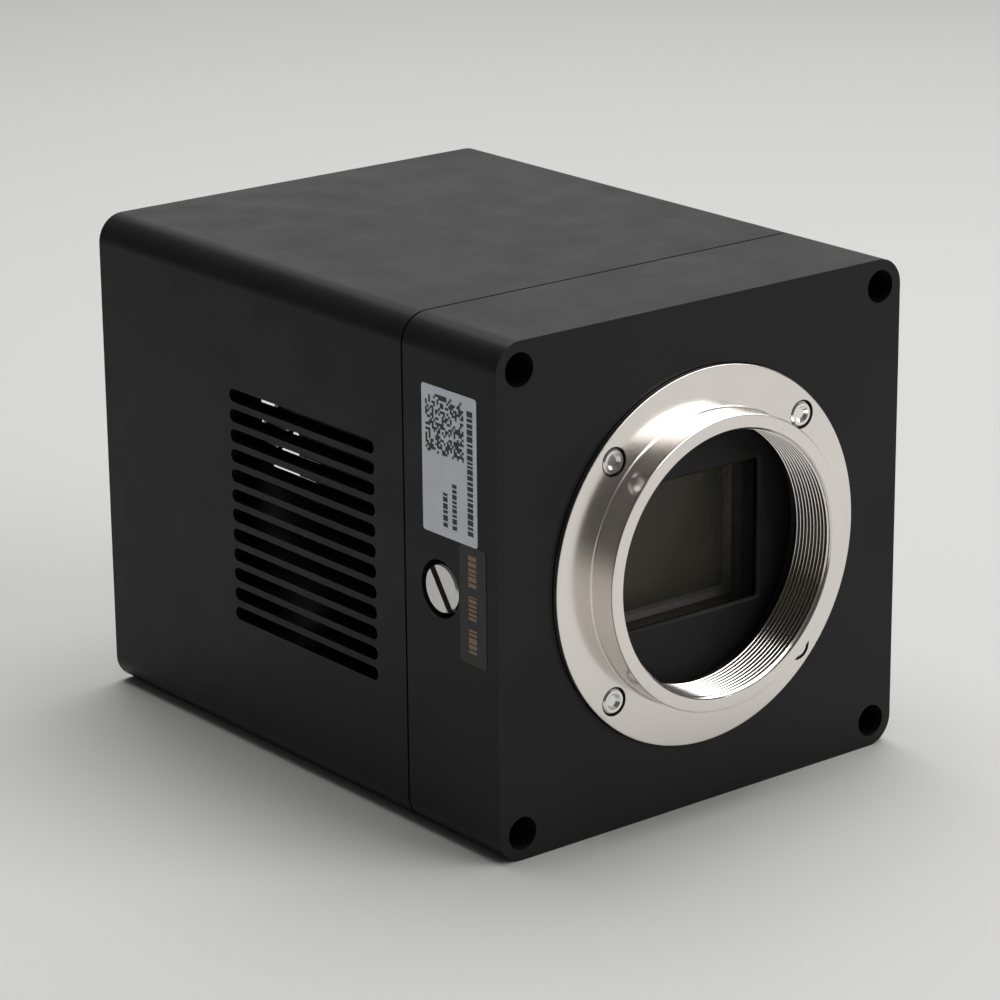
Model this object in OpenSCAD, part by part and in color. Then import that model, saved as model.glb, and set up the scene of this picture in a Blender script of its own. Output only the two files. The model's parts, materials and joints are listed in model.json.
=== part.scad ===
// Cooled astronomy camera: a square body with a threaded lens mount, a sealed sensor
// chamber, a thermoelectric cooler with a finned heat sink, and a fan at the rear.
// The origin is on the optical axis at the front face of the lens mount.
// -Y points out of the lens mount, +Y towards the sockets, and +Z is up.

/* [Body] */
// Width and height of the square body
body_w = 80; // [78:1:96]
// Length of the body behind the mount flange
body_len = 102.5; // [98:0.5:124]
// Radius of the long edges
corner_r = 4.5; // [3:0.5:5]
// Length of the front housing, up to the seam
front_len = 22; // [21:0.5:26]
// Wall thickness of the rear housing
wall_t = 3.5; // [2.5:0.1:4]
// Distance of the corner screws from the two outer faces
screw_inset = 4.3; // [4:0.1:4.6]

/* [Lens mount] */
// Radius of the mount's bore, which is the crest of its female thread
thread_r = 20.6; // [17:0.1:20.8]
// Length of the threaded bore
thread_len = 8; // [6.9:0.1:9]
// Outer radius of the collar
collar_r = 23.15; // [22:0.05:24]
// Length of the collar in front of the flange
collar_len = 4.75; // [4:0.05:5.7]
// Outer radius of the flange
flange_r = 29.75; // [29.2:0.05:30.2]
// Radius of the circle that the flange screws lie on
flange_screw_pcr = 26.5; // [26.3:0.1:26.7]

/* [Sensor chamber] */
// Depth of the sensor surface behind the mount's front face
sensor_depth = 17.5; // [17.3:0.1:17.8]
// Width of the sensor's cover glass
sensor_w = 29; // [24:0.1:29.6]
// Height of the sensor's cover glass
sensor_h = 22.6; // [18:0.1:23.2]
// Width of the rectangular aperture in the window retainer
aperture_w = 30.6; // [25:0.1:34]
// Height of the rectangular aperture
aperture_h = 22.4; // [18:0.1:28]
// Radius of the chamber
chamber_r = 31; // [30:0.1:31.4]

/* [Cooler] */
// Edge length of the thermoelectric module
cooler_w = 30; // [25:0.5:31]
// Length of the heat sink's fins
fin_len = 30.5; // [20:0.5:31]
// Thickness of a fin
fin_t = 1.2; // [0.8:0.1:1.4]

/* [Side vents] */
// Number of vent slots in each side
vent_count = 12; // [6:2:12]
// Length of a vent slot
vent_len = 37.5; // [20:0.5:40]
// Height of a vent slot
vent_h = 2.15; // [1.5:0.05:2.4]
// Distance from one vent slot to the next, and from fin to fin
vent_pitch = 3.28; // [3.1:0.02:3.4]
// Distance of the vents' middle behind the front face of the body
vent_mid = 48; // [46:0.5:52]

/* [Fan] */
// Width of the fan's square frame
fan_w = 50; // [40:1:50]
// Thickness of the fan
fan_t = 15; // [13:0.5:16]
// Number of fan blades
blade_count = 7; // [5:1:9]
// Radial gap between the shaft and its bearing
shaft_gap = 0.03; // [0.02:0.01:0.08]

/* [Port plug] */
// Radius of the plug's head
plug_head_r = 3.9; // [3.3:0.1:4.1]
// Radius of the recess that the head sits in
plug_recess_r = 4.5; // [4.4:0.1:5]
// Radial gap between the plug's thread and its hole
plug_gap = 0.05; // [0.03:0.01:0.09]

/* [Hidden] */
$fn = 64;
eps = 0.5;           // how far a cutting tool runs past a face
weld = 0.5;          // how far two joined shapes run into each other
skin = 0.001;        // how far a cut runs into a face that it only has to open
half_w = body_w / 2;
sides = [-1, 1];

// Stations along the optical axis
flange_proud = 0.95;
body_y = collar_len + flange_proud;
recess_floor_y = thread_len + 0.3;
seam_y = body_y + front_len;
gasket_t = 0.4;
front_end_y = seam_y - gasket_t / 2;
rear_start_y = seam_y + gasket_t / 2;
rear_y = body_y + body_len;
panel_recess = 3;
panel_t = 3;
panel_y = rear_y - panel_recess - panel_t;

// Cross-section of the rear housing
cavity_w = body_w - 2 * wall_t;
cavity_r = 2;
post_depth = 8.8;    // how far the corner posts reach in, measured as |x| + |z|
post_line = 2 * (half_w - screw_inset) - post_depth;
gasket_inset = 0.4;

// Mount ring, shim, window and retainer
recess_gap = 0.1;
edge_chamfer = 0.3;
pocket_r = 24.6;
retainer_r = pocket_r - 0.1;
retainer_wall = 1.9;
retainer_plate_t = 1;
retainer_plate_y = thread_len + 2.4;
window_y = retainer_plate_y + retainer_plate_t;
window_t = 1.5;
window_r = pocket_r - 0.4;
pocket_floor_y = window_y + window_t;
window_seal_r = 22.4;
window_seal_minor = 0.6;
window_seal_gap = 0.15;
web_end_y = pocket_floor_y + 2.4;
shim_inner_r = pocket_r + 0.4;
shim_outer_r = flange_r - 0.25;

// Chamber seal between the front housing and the heat sink
chamber_seal_minor = 0.75;
chamber_seal_gap = 0.05;
chamber_seal_r = chamber_r + 1.6;

// Screws: radii of shank, hole and head
m25_r = 1.25;
m25_hole_r = 1.4;
m25_tap_r = 1.3;
m25_head_r = 2.25;
m25_head_h = 2.5;
m25_flat_r = 2.3;
flat_gap = 0.2;
m25_flat_h = 1.35;
m25_hex_r = 1.15;
counterbore_r = 2.6;
corner_seat_depth = 14;
corner_shank = 16;
m3_r = 1.5;
m3_tap_r = 1.55;
m3_hole_r = 1.7;
m3_head_r = 2.75;
m3_head_h = 3;
m3_hex_r = 1.45;
flange_screw_len = 8;
hex_depth = 1.3;

// Slotted plug in the side of the front housing
plug_y = body_y + 13.55;
plug_face_depth = 0.15;
plug_head_t = 2;
plug_neck_r = 2.3;
plug_neck_t = 1.3;
plug_thread_r = 3 - plug_gap;
plug_slot_w = 1.3;
plug_slot_depth = 0.9;
plug_slot_angle = 145;
plug_seal_minor = 0.55;
plug_seal_gap = 0.05;
plug_floor_x = -half_w + plug_face_depth + plug_head_t + plug_neck_t;
plug_thread_len = 4.9;

// Label and sticker on the side of the front housing
sticker_t = 0.12;
label_y = [body_y + 4.5, body_y + 17.3];
label_z = [8.5, 31];
label_corner_r = 1;
dark_sticker_y = [body_y + 2.6, body_y + 8.8];
dark_sticker_z = [-9.8, 8.5];

// Drying tablets
tablet_r = 4;
tablet_t = 2.2;
tablet_ring_r = 26;

// Sensor assembly
glass_t = 0.7;
glass_y = sensor_depth - 0.3 - glass_t;
package_y = glass_y + glass_t;
package_rim = 1.4;
package_t = 2.7;
package_w = sensor_w + 2 * package_rim;
package_h = sensor_h + 2 * package_rim;
die_inset = 0.4;
die_w = sensor_w - 2 * die_inset;
die_h = sensor_h - 2 * die_inset;
die_t = 0.6;
cavity_margin = 0.15;
package_cavity_t = sensor_depth + die_t - package_y;
board_y = package_y + package_t;
board_t = 1.6;
sensor_board_w = 43.4;
baffle_gap = 0.4;
throat = [package_w + 2 * baffle_gap, package_h + 2 * baffle_gap];
baffle_wall = 2.3;
baffle_y = web_end_y + 0.5;
post_r = 2;
post_pos = 19;
post_hole_r = 0.9;
board_hole_gap = 0.2;
small_screw_r = 0.85;
small_head_r = 1.9;
small_head_h = 1.4;
small_screw_len = 4.6;
connector_w = 16;
connector_z = [-21.7, -18.7];
connector_t = 1.8;

// Tripod insert in the bottom
insert_r = 4;
boss_top = 2.2;
boss_gap = 0.5;
insert_len = wall_t + boss_top;
insert_thread_r = 2.55;
insert_y = body_y + 45;
boss_r = 7;

// Cooler stack behind the sensor
finger_block_w = 20;
finger_block_h = 14;
finger_slot_gap = 0.5;
pad_t = 0.2;
finger_gap = 0.4;
finger_y = board_y + board_t + finger_gap;
finger_t = 2;
finger_w = 42;
finger_h = 28;
clamp_x = 18.5;
ceramic_t = 0.8;
cold_plate_y = finger_y + finger_t;
hot_plate_y = front_end_y - ceramic_t;
pellet_w = 1.4;
pellets_per_side = 8;
pellet_margin = 1.2;
insulation_w = 44;
insulation_h = 36;
insulation_gap = 0.5;
base_t = 4;
base_end_y = front_end_y + base_t;
base_gap = 0.6;
base_w = cavity_w - 2 * base_gap;
sink_screw_pos = half_w - 12.5;
sink_screw_len = 12;
tap_floor = 0.5;
well_r = 3.4;
fin_end_y = base_end_y + fin_len;
fins_each_way = floor((half_w - wall_t - boss_top - boss_gap - fin_t / 2) / vent_pitch);
fin_reach = base_w / 2 - 1.5;

// Main board on its standoffs
standoff_h = 4.3;
standoff_r = 2.6;
standoff_hole_r = 1.05;
main_board_t = 1.6;
main_board_z = -half_w + wall_t + standoff_h;
board_top_z = main_board_z + main_board_t;
main_board_start_y = fin_end_y + 2;
main_board_end_y = panel_y - 0.4;
main_board_w = 2 * (post_line + main_board_z) - 1.8;
front_fixing_x = main_board_w / 2 - 7.5;
front_fixing_y = main_board_start_y + 3;
rear_fixing_y = main_board_end_y - 4.3;
board_screw_r = 1;
board_hole_r = 1.2;
board_head_r = 2.1;
board_head_h = 1.5;
board_screw_len = 4.9;
processor_w = 13;
processor_t = 1.4;
processor_y = main_board_start_y + 12.5;
memory_size = [9, 13, 1.1];
memory_x = 15.5;
inductor_w = 7;
inductor_h = 4;
inductor_x = [-20.5, -11];
capacitor_r = 3.15;
capacitor_h = 7.7;
capacitor_x = [9.5, 16.6, 23.7];
power_row_y = main_board_start_y + 19.2;

// Ribbon, which runs in a gap between two fins
ribbon_w = 12;
ribbon_t = 0.3;
ribbon_gap_index = 8.5;
ribbon_z = -ribbon_gap_index * vent_pitch;
ribbon_slot_w = 14;
ribbon_slot_h = 1.6;
ribbon_bend_y = board_y + board_t + connector_t + 1.7;
flex_connector_y = main_board_start_y + 0.5;
flex_connector_len = 5;
flex_connector_over = 0.68;

// Sockets in the rear panel, seated on the main board
socket_gap = 0.2;
usb_w = 12;
usb_h = 12.5;
usb_len = 17.5;
usb_wall = 0.5;
usb_step = 0.62;
usb_face_y = panel_y + panel_t + 0.6;
usb_tongue_size = [5.6, 15, 3.2];
usb_tongue_z = board_top_z + 5.2;
usb_block_len = 5;
jack_x = -20;
jack_w = 9;
jack_h = 11;
jack_len = 14;
jack_hole_r = 3.1;
jack_pin_r = 1.05;
jack_depth = 9.5;
jack_pin_recess = 0.8;
jack_face_y = panel_y + panel_t + 0.3;
guide_x = 17.6;
guide_w = 13.2;
guide_h = 11.5;
guide_len = 16;
guide_face_y = panel_y + panel_t + 0.6;
guide_opening = [9.8, 6.8];
guide_depth = 11;
guide_latch = [4, 2];
contact_pitch = 1.02;
contact_count = 6;
contact_w = 0.45;
contact_recess = 2;
light_x = (usb_w / 2 + guide_x - guide_w / 2) / 2;
light_z = board_top_z + 10.1;
light_r = 1.5;
light_len = 5;
light_proud = 0.3;
light_gap = 0.05;
socket_room = 14.6;  // height kept free above the board for the sockets
rear_fixing_x = [(jack_x + jack_w / 2 - usb_w / 2) / 2, light_x];

// Fan behind the heat sink
fan_z = board_top_z + socket_room + fan_w / 2;
fan_y = panel_y - fan_t;
fan_bore_r = fan_w / 2 - 1.4;
fan_corner_r = 3;
fan_screw_inset = 5;
fan_screw_pos = fan_w / 2 - fan_screw_inset;
fan_hole_r = 2.15;
strut_w = 2.4;
strut_t = 2.2;
hub_r = 10;
hub_wall = 1.2;
hub_plate_t = 1.5;
motor_plate_r = 10.4;
motor_plate_t = 1.8;
motor_plate_y = fan_y + fan_t - motor_plate_t;
bearing_lip = 0.4;
rotor_y = fan_y + 0.8;
cup_len = fan_t - 4.8;
bearing_tube_r = 3.6;
bearing_r = 2.8;
shaft_r = 1;
shaft_seat = 0.3;
shaft_tip_gap = 0.2;
magnet_gap = 0.2;
bearing_y = fan_y + 5.4;
bearing_end_y = fan_y + fan_t - 2.2;
magnet_t = 0.9;
stator_arm_w = 2.2;
stator_shoe_r = 7.2;
stator_shoe_t = 1;
stator_core_r = 5;
stator_len = 5.5;
stator_y = fan_y + 4.2;
blade_gap = 0.7;
blade_t = 1.1;
blade_start = 0.9;
blade_angle = 40;
blade_end_gap = 0.6;
blade_axial = fan_t - strut_t - blade_end_gap - 1.6;
blade_chord = (blade_axial - blade_t * sin(blade_angle)) / cos(blade_angle);
fan_screw_r = 1.95;
fan_screw_head_r = 3.4;
fan_screw_head_h = 1.6;
fan_screw_len = 13;
guard_t = 1;
guard_ring_w = 1.2;
guard_rim_w = 3.4;
guard_open_r = fan_w / 2 - guard_rim_w;
guard_rings = 3;
guard_hub_r = 3.2;
guard_ring_pitch = (guard_open_r - guard_hub_r) / guard_rings;
guard_spoke_w = 1.6;
panel_gap = 0.2;
panel_screw_pos = half_w - 7;
panel_screw_len = 9;
panel_screw_tip_gap = 1;

// ---------------------------------------------------------------- helpers

// Extrudes a shape drawn in X and Z from y to y + depth
module plate(y, depth) {
    translate([0, y + depth, 0])
        rotate([90, 0, 0])
            linear_extrude(depth)
                children();
}

// Turns a profile of [radius, distance behind y] round an axis along Y
module turned(y) {
    translate([0, y, 0])
        rotate([-90, 0, 0])
            rotate_extrude()
                children();
}

// A rod along +Y
module rod(y, len, r) {
    translate([0, y, 0])
        rotate([-90, 0, 0])
            cylinder(h = len, r = r);
}

// A ring along +Y
module tube(y, len, outer_r, inner_r) {
    turned(y)
        translate([inner_r, 0])
            square([outer_r - inner_r, len]);
}

// A round seal whose axis is along Y
module seal(y, major_r, minor_r) {
    turned(y)
        translate([major_r, 0])
            circle(r = minor_r);
}

// A block that is centred on X, with y and z given as [from, to]
module block(width, y, z) {
    translate([-width / 2, y[0], z[0]])
        cube([width, y[1] - y[0], z[1] - z[0]]);
}

// A rectangle with round corners, made of true arcs
module rounded(size, r) {
    w = size[0] / 2 - r;
    h = size[1] / 2 - r;
    square([2 * w, 2 * (h + r)], center = true);
    square([2 * (w + r), 2 * h], center = true);
    for (x = [-w, w], y = [-h, h])
        translate([x, y])
            circle(r = r);
}

// Copies the children to the four points (+-x, +-z)
module four(x, z) {
    for (sx = sides, sz = sides)
        translate([sx * x, 0, sz * z])
            children();
}

// Copies the children to the two points +-x
module two(x) {
    for (sx = sides)
        translate([sx * x, 0, 0])
            children();
}

// A socket cap screw along +Z: head from 0 to head_h, then the shank
module cap_screw(head_r, head_h, shank_r, shank_len, hex_r) {
    difference() {
        union() {
            cylinder(h = head_h, r = head_r);
            cylinder(h = head_h + shank_len, r = shank_r);
        }
        translate([0, 0, -eps])
            cylinder(h = hex_depth + eps, r = hex_r, $fn = 6);
    }
}

// A countersunk screw along +Z: its flat face is at 0
module flat_screw(head_r, head_h, shank_r, len, hex_r) {
    difference() {
        union() {
            cylinder(h = head_h, r1 = head_r, r2 = shank_r);
            cylinder(h = len, r = shank_r);
        }
        translate([0, 0, -eps])
            cylinder(h = hex_depth * 0.8 + eps, r = hex_r, $fn = 6);
    }
}

// The hole of a countersunk screw along +Z, running past the face at 0
module flat_hole(head_r, head_h, hole_r, len) {
    translate([0, 0, -eps])
        cylinder(h = len + eps, r = hole_r);
    translate([0, 0, -eps])
        cylinder(h = eps + skin, r = head_r);
    cylinder(h = head_h, r1 = head_r, r2 = hole_r);
}

// Turns something drawn along +Z so that it runs along +Y from y
module facing_back(y) {
    translate([0, y, 0])
        rotate([-90, 0, 0])
            children();
}

// Turns something drawn along +Z so that it runs along -Y from y
module facing_front(y) {
    translate([0, y, 0])
        rotate([90, 0, 0])
            children();
}

// Outline of the body
module body_outline() {
    rounded([body_w, body_w], corner_r);
}

// Outline of the space between the corner posts, shrunk by gap all round
module cavity_outline(gap = 0) {
    intersection() {
        rounded([cavity_w - 2 * gap, cavity_w - 2 * gap], cavity_r);
        rotate(45)
            square((post_line - gap) * sqrt(2), center = true);
    }
}

// ---------------------------------------------------------------- front

module front_housing() {
    color([0.07, 0.07, 0.075])
        difference() {
            plate(body_y, front_end_y - body_y)
                body_outline();
            rod(body_y - eps, recess_floor_y - body_y + eps, flange_r + recess_gap);
            rod(recess_floor_y - eps, pocket_floor_y - recess_floor_y + eps, pocket_r);
            plate(pocket_floor_y - eps, web_end_y - pocket_floor_y + 2 * eps)
                square(throat, center = true);
            tube(pocket_floor_y - eps, 2 * window_seal_minor + eps,
                window_seal_r + window_seal_minor + window_seal_gap,
                window_seal_r - window_seal_minor - window_seal_gap);
            rod(web_end_y, front_end_y - web_end_y + eps, chamber_r);
            tube(front_end_y - 2 * chamber_seal_minor, 2 * chamber_seal_minor + eps,
                chamber_seal_r + chamber_seal_minor + chamber_seal_gap,
                chamber_seal_r - chamber_seal_minor - chamber_seal_gap);
            four(half_w - screw_inset, half_w - screw_inset) {
                rod(body_y - eps, corner_seat_depth + eps, counterbore_r);
                rod(body_y, front_len + eps, m25_hole_r);
            }
            flange_screw_places()
                rod(recess_floor_y - eps, flange_screw_len - 3, m25_tap_r);
            four(sink_screw_pos, sink_screw_pos)
                rod(front_end_y - sink_screw_len + base_t - 1, sink_screw_len - base_t + 1 + eps, m3_tap_r);
            translate([plug_floor_x, plug_y, 0])
                rotate([0, -90, 0])
                    cylinder(h = half_w + eps + plug_floor_x, r = plug_recess_r);
            translate([-chamber_r + 2, plug_y, 0])
                rotate([0, -90, 0])
                    cylinder(h = -chamber_r + 2 - plug_floor_x + eps, r = plug_thread_r + plug_gap);
        }
}

// Places the children on the flange's screw circle, on the diagonals
module flange_screw_places() {
    four(flange_screw_pcr / sqrt(2), flange_screw_pcr / sqrt(2))
        children();
}

module mount_ring() {
    color([0.82, 0.81, 0.79])
        difference() {
            turned(0)
                polygon([
                    [thread_r, 0],
                    [collar_r - edge_chamfer, 0],
                    [collar_r, edge_chamfer],
                    [collar_r, collar_len],
                    [flange_r - edge_chamfer, collar_len],
                    [flange_r, collar_len + edge_chamfer],
                    [flange_r, thread_len],
                    [thread_r, thread_len]
                ]);
            flange_screw_places()
                facing_back(collar_len)
                    flat_hole(m25_flat_r + flat_gap, m25_flat_h, m25_hole_r, thread_len);
        }
}

module mount_shim() {
    color([0.72, 0.6, 0.35])
        difference() {
            tube(thread_len, recess_floor_y - thread_len, shim_outer_r, shim_inner_r);
            flange_screw_places()
                rod(thread_len - eps, recess_floor_y - thread_len + 2 * eps, m25_hole_r);
        }
}

module mount_ring_screws() {
    color([0.5, 0.5, 0.52])
        flange_screw_places()
            facing_back(collar_len)
                flat_screw(m25_flat_r, m25_flat_h, m25_r, flange_screw_len, m25_hex_r);
}

module window_retainer() {
    color([0.05, 0.05, 0.05])
        difference() {
            rod(thread_len, window_y - thread_len, retainer_r);
            rod(thread_len - eps, retainer_plate_y - thread_len + eps, retainer_r - retainer_wall);
            plate(retainer_plate_y - eps, retainer_plate_t + 2 * eps)
                square([aperture_w, aperture_h], center = true);
        }
}

module chamber_window() {
    color([0.75, 0.85, 0.9, 0.3])
        rod(window_y, window_t, window_r);
}

module window_seal() {
    color([0.08, 0.08, 0.08])
        seal(pocket_floor_y + window_seal_minor, window_seal_r, window_seal_minor);
}

module corner_screws() {
    color([0.15, 0.15, 0.16])
        four(half_w - screw_inset, half_w - screw_inset)
            facing_back(body_y + corner_seat_depth - m25_head_h)
                cap_screw(m25_head_r, m25_head_h, m25_r, corner_shank, m25_hex_r);
}

module chamber_plug() {
    head_x = -half_w + plug_face_depth;
    color([0.78, 0.78, 0.77])
        translate([head_x, plug_y, 0])
            rotate([0, 90, 0])
                difference() {
                    rotate_extrude()
                        polygon([
                            [0, 0],
                            [plug_head_r - edge_chamfer, 0],
                            [plug_head_r, edge_chamfer],
                            [plug_head_r, plug_head_t],
                            [plug_neck_r, plug_head_t],
                            [plug_neck_r, plug_head_t + plug_neck_t],
                            [plug_thread_r, plug_head_t + plug_neck_t],
                            [plug_thread_r, plug_head_t + plug_neck_t + plug_thread_len],
                            [0, plug_head_t + plug_neck_t + plug_thread_len]
                        ]);
                    rotate(plug_slot_angle)
                        translate([-plug_head_r - eps, -plug_slot_w / 2, -eps])
                            cube([2 * (plug_head_r + eps), plug_slot_w, plug_slot_depth + eps]);
                }
}

module plug_seal() {
    seal_x = plug_floor_x - plug_seal_gap - plug_seal_minor;
    color([0.06, 0.06, 0.06])
        translate([seal_x, plug_y, 0])
            rotate([0, 90, 0])
                rotate_extrude()
                    translate([plug_neck_r + plug_seal_gap + plug_seal_minor, 0])
                        circle(r = plug_seal_minor);
}

// A thin plate on the left side, with y and z given as [from, to]
module side_plate(y, z, r) {
    size = [z[1] - z[0], y[1] - y[0]];
    translate([-half_w - sticker_t, (y[0] + y[1]) / 2, (z[0] + z[1]) / 2])
        rotate([0, 90, 0])
            linear_extrude(sticker_t)
                rounded(size, r);
}

module code_label() {
    color([0.62, 0.62, 0.66])
        side_plate(label_y, label_z, label_corner_r);
}

module side_sticker() {
    color([0.1, 0.085, 0.075])
        side_plate(dark_sticker_y, dark_sticker_z, label_corner_r / 2);
}

module desiccant_tablets() {
    color([0.85, 0.82, 0.75])
        for (angle = [0 : 90 : 270])
            rotate([0, angle, 0])
                translate([tablet_ring_r, 0, 0])
                    rod(web_end_y, tablet_t, tablet_r);
}

module seam_gasket() {
    color([0.03, 0.03, 0.03])
        difference() {
            plate(front_end_y, gasket_t)
                difference() {
                    rounded([body_w - 2 * gasket_inset, body_w - 2 * gasket_inset], corner_r - gasket_inset);
                    cavity_outline();
                }
            four(half_w - screw_inset, half_w - screw_inset)
                rod(front_end_y - eps, gasket_t + 2 * eps, m25_hole_r);
        }
}

module chamber_seal() {
    color([0.08, 0.08, 0.08])
        seal(front_end_y - chamber_seal_minor, chamber_seal_r, chamber_seal_minor);
}

// ---------------------------------------------------------------- sensor

module sensor_package() {
    color([0.5, 0.47, 0.5])
        difference() {
            plate(package_y, package_t)
                square([package_w, package_h], center = true);
            plate(package_y - eps, package_cavity_t + eps)
                square([die_w + 2 * cavity_margin, die_h + 2 * cavity_margin], center = true);
        }
}

module sensor_die() {
    color([0.12, 0.15, 0.12])
        plate(sensor_depth, die_t)
            square([die_w, die_h], center = true);
}

module sensor_cover_glass() {
    color([0.4, 0.5, 0.45, 0.35])
        plate(glass_y, glass_t)
            square([sensor_w, sensor_h], center = true);
}

module sensor_baffle() {
    outer = [throat[0] + 2 * baffle_wall, throat[1] + 2 * baffle_wall];
    color([0.05, 0.08, 0.06])
        plate(baffle_y, board_y - baffle_y)
            difference() {
                square(outer, center = true);
                square(throat, center = true);
            }
}

module sensor_board() {
    color([0.05, 0.2, 0.1])
        difference() {
            plate(board_y, board_t)
                square([sensor_board_w, sensor_board_w], center = true);
            plate(board_y - eps, board_t + 2 * eps)
                square([finger_block_w + 2 * finger_slot_gap, finger_block_h + 2 * finger_slot_gap], center = true);
            four(post_pos, post_pos)
                rod(board_y - eps, board_t + 2 * eps, post_hole_r + board_hole_gap);
        }
}

module sensor_posts() {
    color([0.85, 0.85, 0.8])
        four(post_pos, post_pos)
            tube(web_end_y, board_y - web_end_y, post_r, post_hole_r);
}

module sensor_board_screws() {
    color([0.6, 0.6, 0.62])
        four(post_pos, post_pos)
            facing_front(board_y + board_t + small_head_h)
                cap_screw(small_head_r, small_head_h, small_screw_r, small_screw_len, small_head_r / 2);
}

module sensor_connector() {
    color([0.12, 0.11, 0.1])
        block(connector_w, [board_y + board_t, board_y + board_t + connector_t], connector_z);
}

module flex_cable() {
    middle_z = (connector_z[0] + connector_z[1]) / 2;
    half_t = ribbon_t / 2;
    color([0.75, 0.45, 0.12]) {
        block(ribbon_w, [board_y + board_t + connector_t, ribbon_bend_y],
            [middle_z - half_t, middle_z + half_t]);
        block(ribbon_w, [ribbon_bend_y, ribbon_bend_y + ribbon_t], [ribbon_z - half_t, middle_z + half_t]);
        block(ribbon_w, [ribbon_bend_y, flex_connector_y], [ribbon_z - half_t, ribbon_z + half_t]);
    }
}

// ---------------------------------------------------------------- cooler

module thermal_pad() {
    color([0.55, 0.6, 0.7])
        plate(board_y, pad_t)
            square([finger_block_w, finger_block_h], center = true);
}

module cold_finger() {
    color([0.75, 0.75, 0.76])
        difference() {
            union() {
                plate(board_y + pad_t, finger_y - board_y - pad_t)
                    square([finger_block_w, finger_block_h], center = true);
                plate(finger_y, finger_t)
                    square([finger_w, finger_h], center = true);
            }
            two(clamp_x)
                facing_back(finger_y)
                    flat_hole(m25_flat_r + flat_gap, m25_flat_h, m25_hole_r, finger_t + eps);
        }
}

module clamp_screws() {
    color([0.85, 0.85, 0.82])
        two(clamp_x)
            facing_back(finger_y)
                flat_screw(m25_flat_r, m25_flat_h, m25_r, front_end_y + 3 - finger_y, m25_hex_r);
}

module cooler_cold_plate() {
    color([0.92, 0.91, 0.88])
        plate(cold_plate_y, ceramic_t)
            square([cooler_w, cooler_w], center = true);
}

module cooler_hot_plate() {
    color([0.92, 0.91, 0.88])
        plate(hot_plate_y, ceramic_t)
            square([cooler_w, cooler_w], center = true);
}

module cooler_pellets() {
    first = cooler_w / 2 - pellet_margin - pellet_w / 2;
    step = 2 * first / (pellets_per_side - 1);
    start_y = cold_plate_y + ceramic_t;
    color([0.45, 0.45, 0.48])
        for (x = [-first : step : first + eps], z = [-first : step : first + eps])
            translate([x - pellet_w / 2, start_y, z - pellet_w / 2])
                cube([pellet_w, hot_plate_y - start_y, pellet_w]);
}

module cold_insulation() {
    opening = cooler_w + 2 * insulation_gap;
    color([0.2, 0.2, 0.22])
        difference() {
            plate(cold_plate_y, front_end_y - cold_plate_y)
                difference() {
                    square([insulation_w, insulation_h], center = true);
                    square([opening, opening], center = true);
                }
            two(clamp_x)
                rod(cold_plate_y - eps, front_end_y - cold_plate_y + 2 * eps, m25_hole_r);
        }
}

// Half the length of the fin at height z, which stops short of the corner posts
function fin_half(z) = min(fin_reach, post_line - base_gap - fin_t - abs(z));

module heat_sink() {
    color([0.16, 0.16, 0.17])
        difference() {
            union() {
                plate(front_end_y, base_t)
                    cavity_outline(base_gap);
                for (k = [-fins_each_way : fins_each_way])
                    block(2 * fin_half(k * vent_pitch), [base_end_y - eps, fin_end_y],
                        [k * vent_pitch - fin_t / 2, k * vent_pitch + fin_t / 2]);
            }
            four(sink_screw_pos, sink_screw_pos) {
                rod(front_end_y - eps, base_t + 2 * eps, m3_hole_r);
                rod(base_end_y, fin_len + eps, well_r);
            }
            two(clamp_x)
                rod(front_end_y - eps, base_t - tap_floor + eps, m25_tap_r);
            block(ribbon_slot_w, [front_end_y - eps, base_end_y + eps],
                [ribbon_z - ribbon_slot_h / 2, ribbon_z + ribbon_slot_h / 2]);
        }
}

module heat_sink_screws() {
    color([0.55, 0.55, 0.57])
        four(sink_screw_pos, sink_screw_pos)
            facing_front(base_end_y + m3_head_h)
                cap_screw(m3_head_r, m3_head_h, m3_r, sink_screw_len - tap_floor, m3_hex_r);
}

// ---------------------------------------------------------------- rear housing

// One vent slot through both side walls, with round ends
module vent_slot() {
    reach = vent_len - vent_h;
    rotate([0, 90, 0])
        linear_extrude(body_w + 2 * eps, center = true) {
            square([vent_h, reach], center = true);
            for (end = sides)
                translate([0, end * reach / 2])
                    circle(r = vent_h / 2);
        }
}

module rear_housing() {
    color([0.07, 0.07, 0.075])
        difference() {
            union() {
                difference() {
                    plate(rear_start_y, rear_y - rear_start_y)
                        body_outline();
                    plate(rear_start_y - eps, panel_y - rear_start_y + eps)
                        cavity_outline();
                    plate(panel_y - skin, rear_y - panel_y + eps)
                        rounded([cavity_w, cavity_w], cavity_r);
                }
                translate([0, insert_y, -half_w + wall_t / 2])
                    cylinder(h = wall_t / 2 + boss_top, r = boss_r);
            }
            for (k = [0 : vent_count - 1])
                translate([0, body_y + vent_mid, (k - (vent_count - 1) / 2) * vent_pitch])
                    vent_slot();
            four(half_w - screw_inset, half_w - screw_inset)
                rod(rear_start_y - eps, corner_shank, m25_tap_r);
            four(panel_screw_pos, panel_screw_pos)
                rod(panel_y - panel_screw_len, panel_screw_len + eps, m25_tap_r);
            translate([0, insert_y, -half_w - eps])
                cylinder(h = insert_len + 2 * eps, r = insert_r);
        }
}

module tripod_insert() {
    color([0.72, 0.72, 0.7])
        translate([0, insert_y, -half_w])
            difference() {
                cylinder(h = insert_len, r = insert_r);
                translate([0, 0, -eps])
                    cylinder(h = insert_len + 2 * eps, r = insert_thread_r);
            }
}

// ---------------------------------------------------------------- electronics

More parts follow.
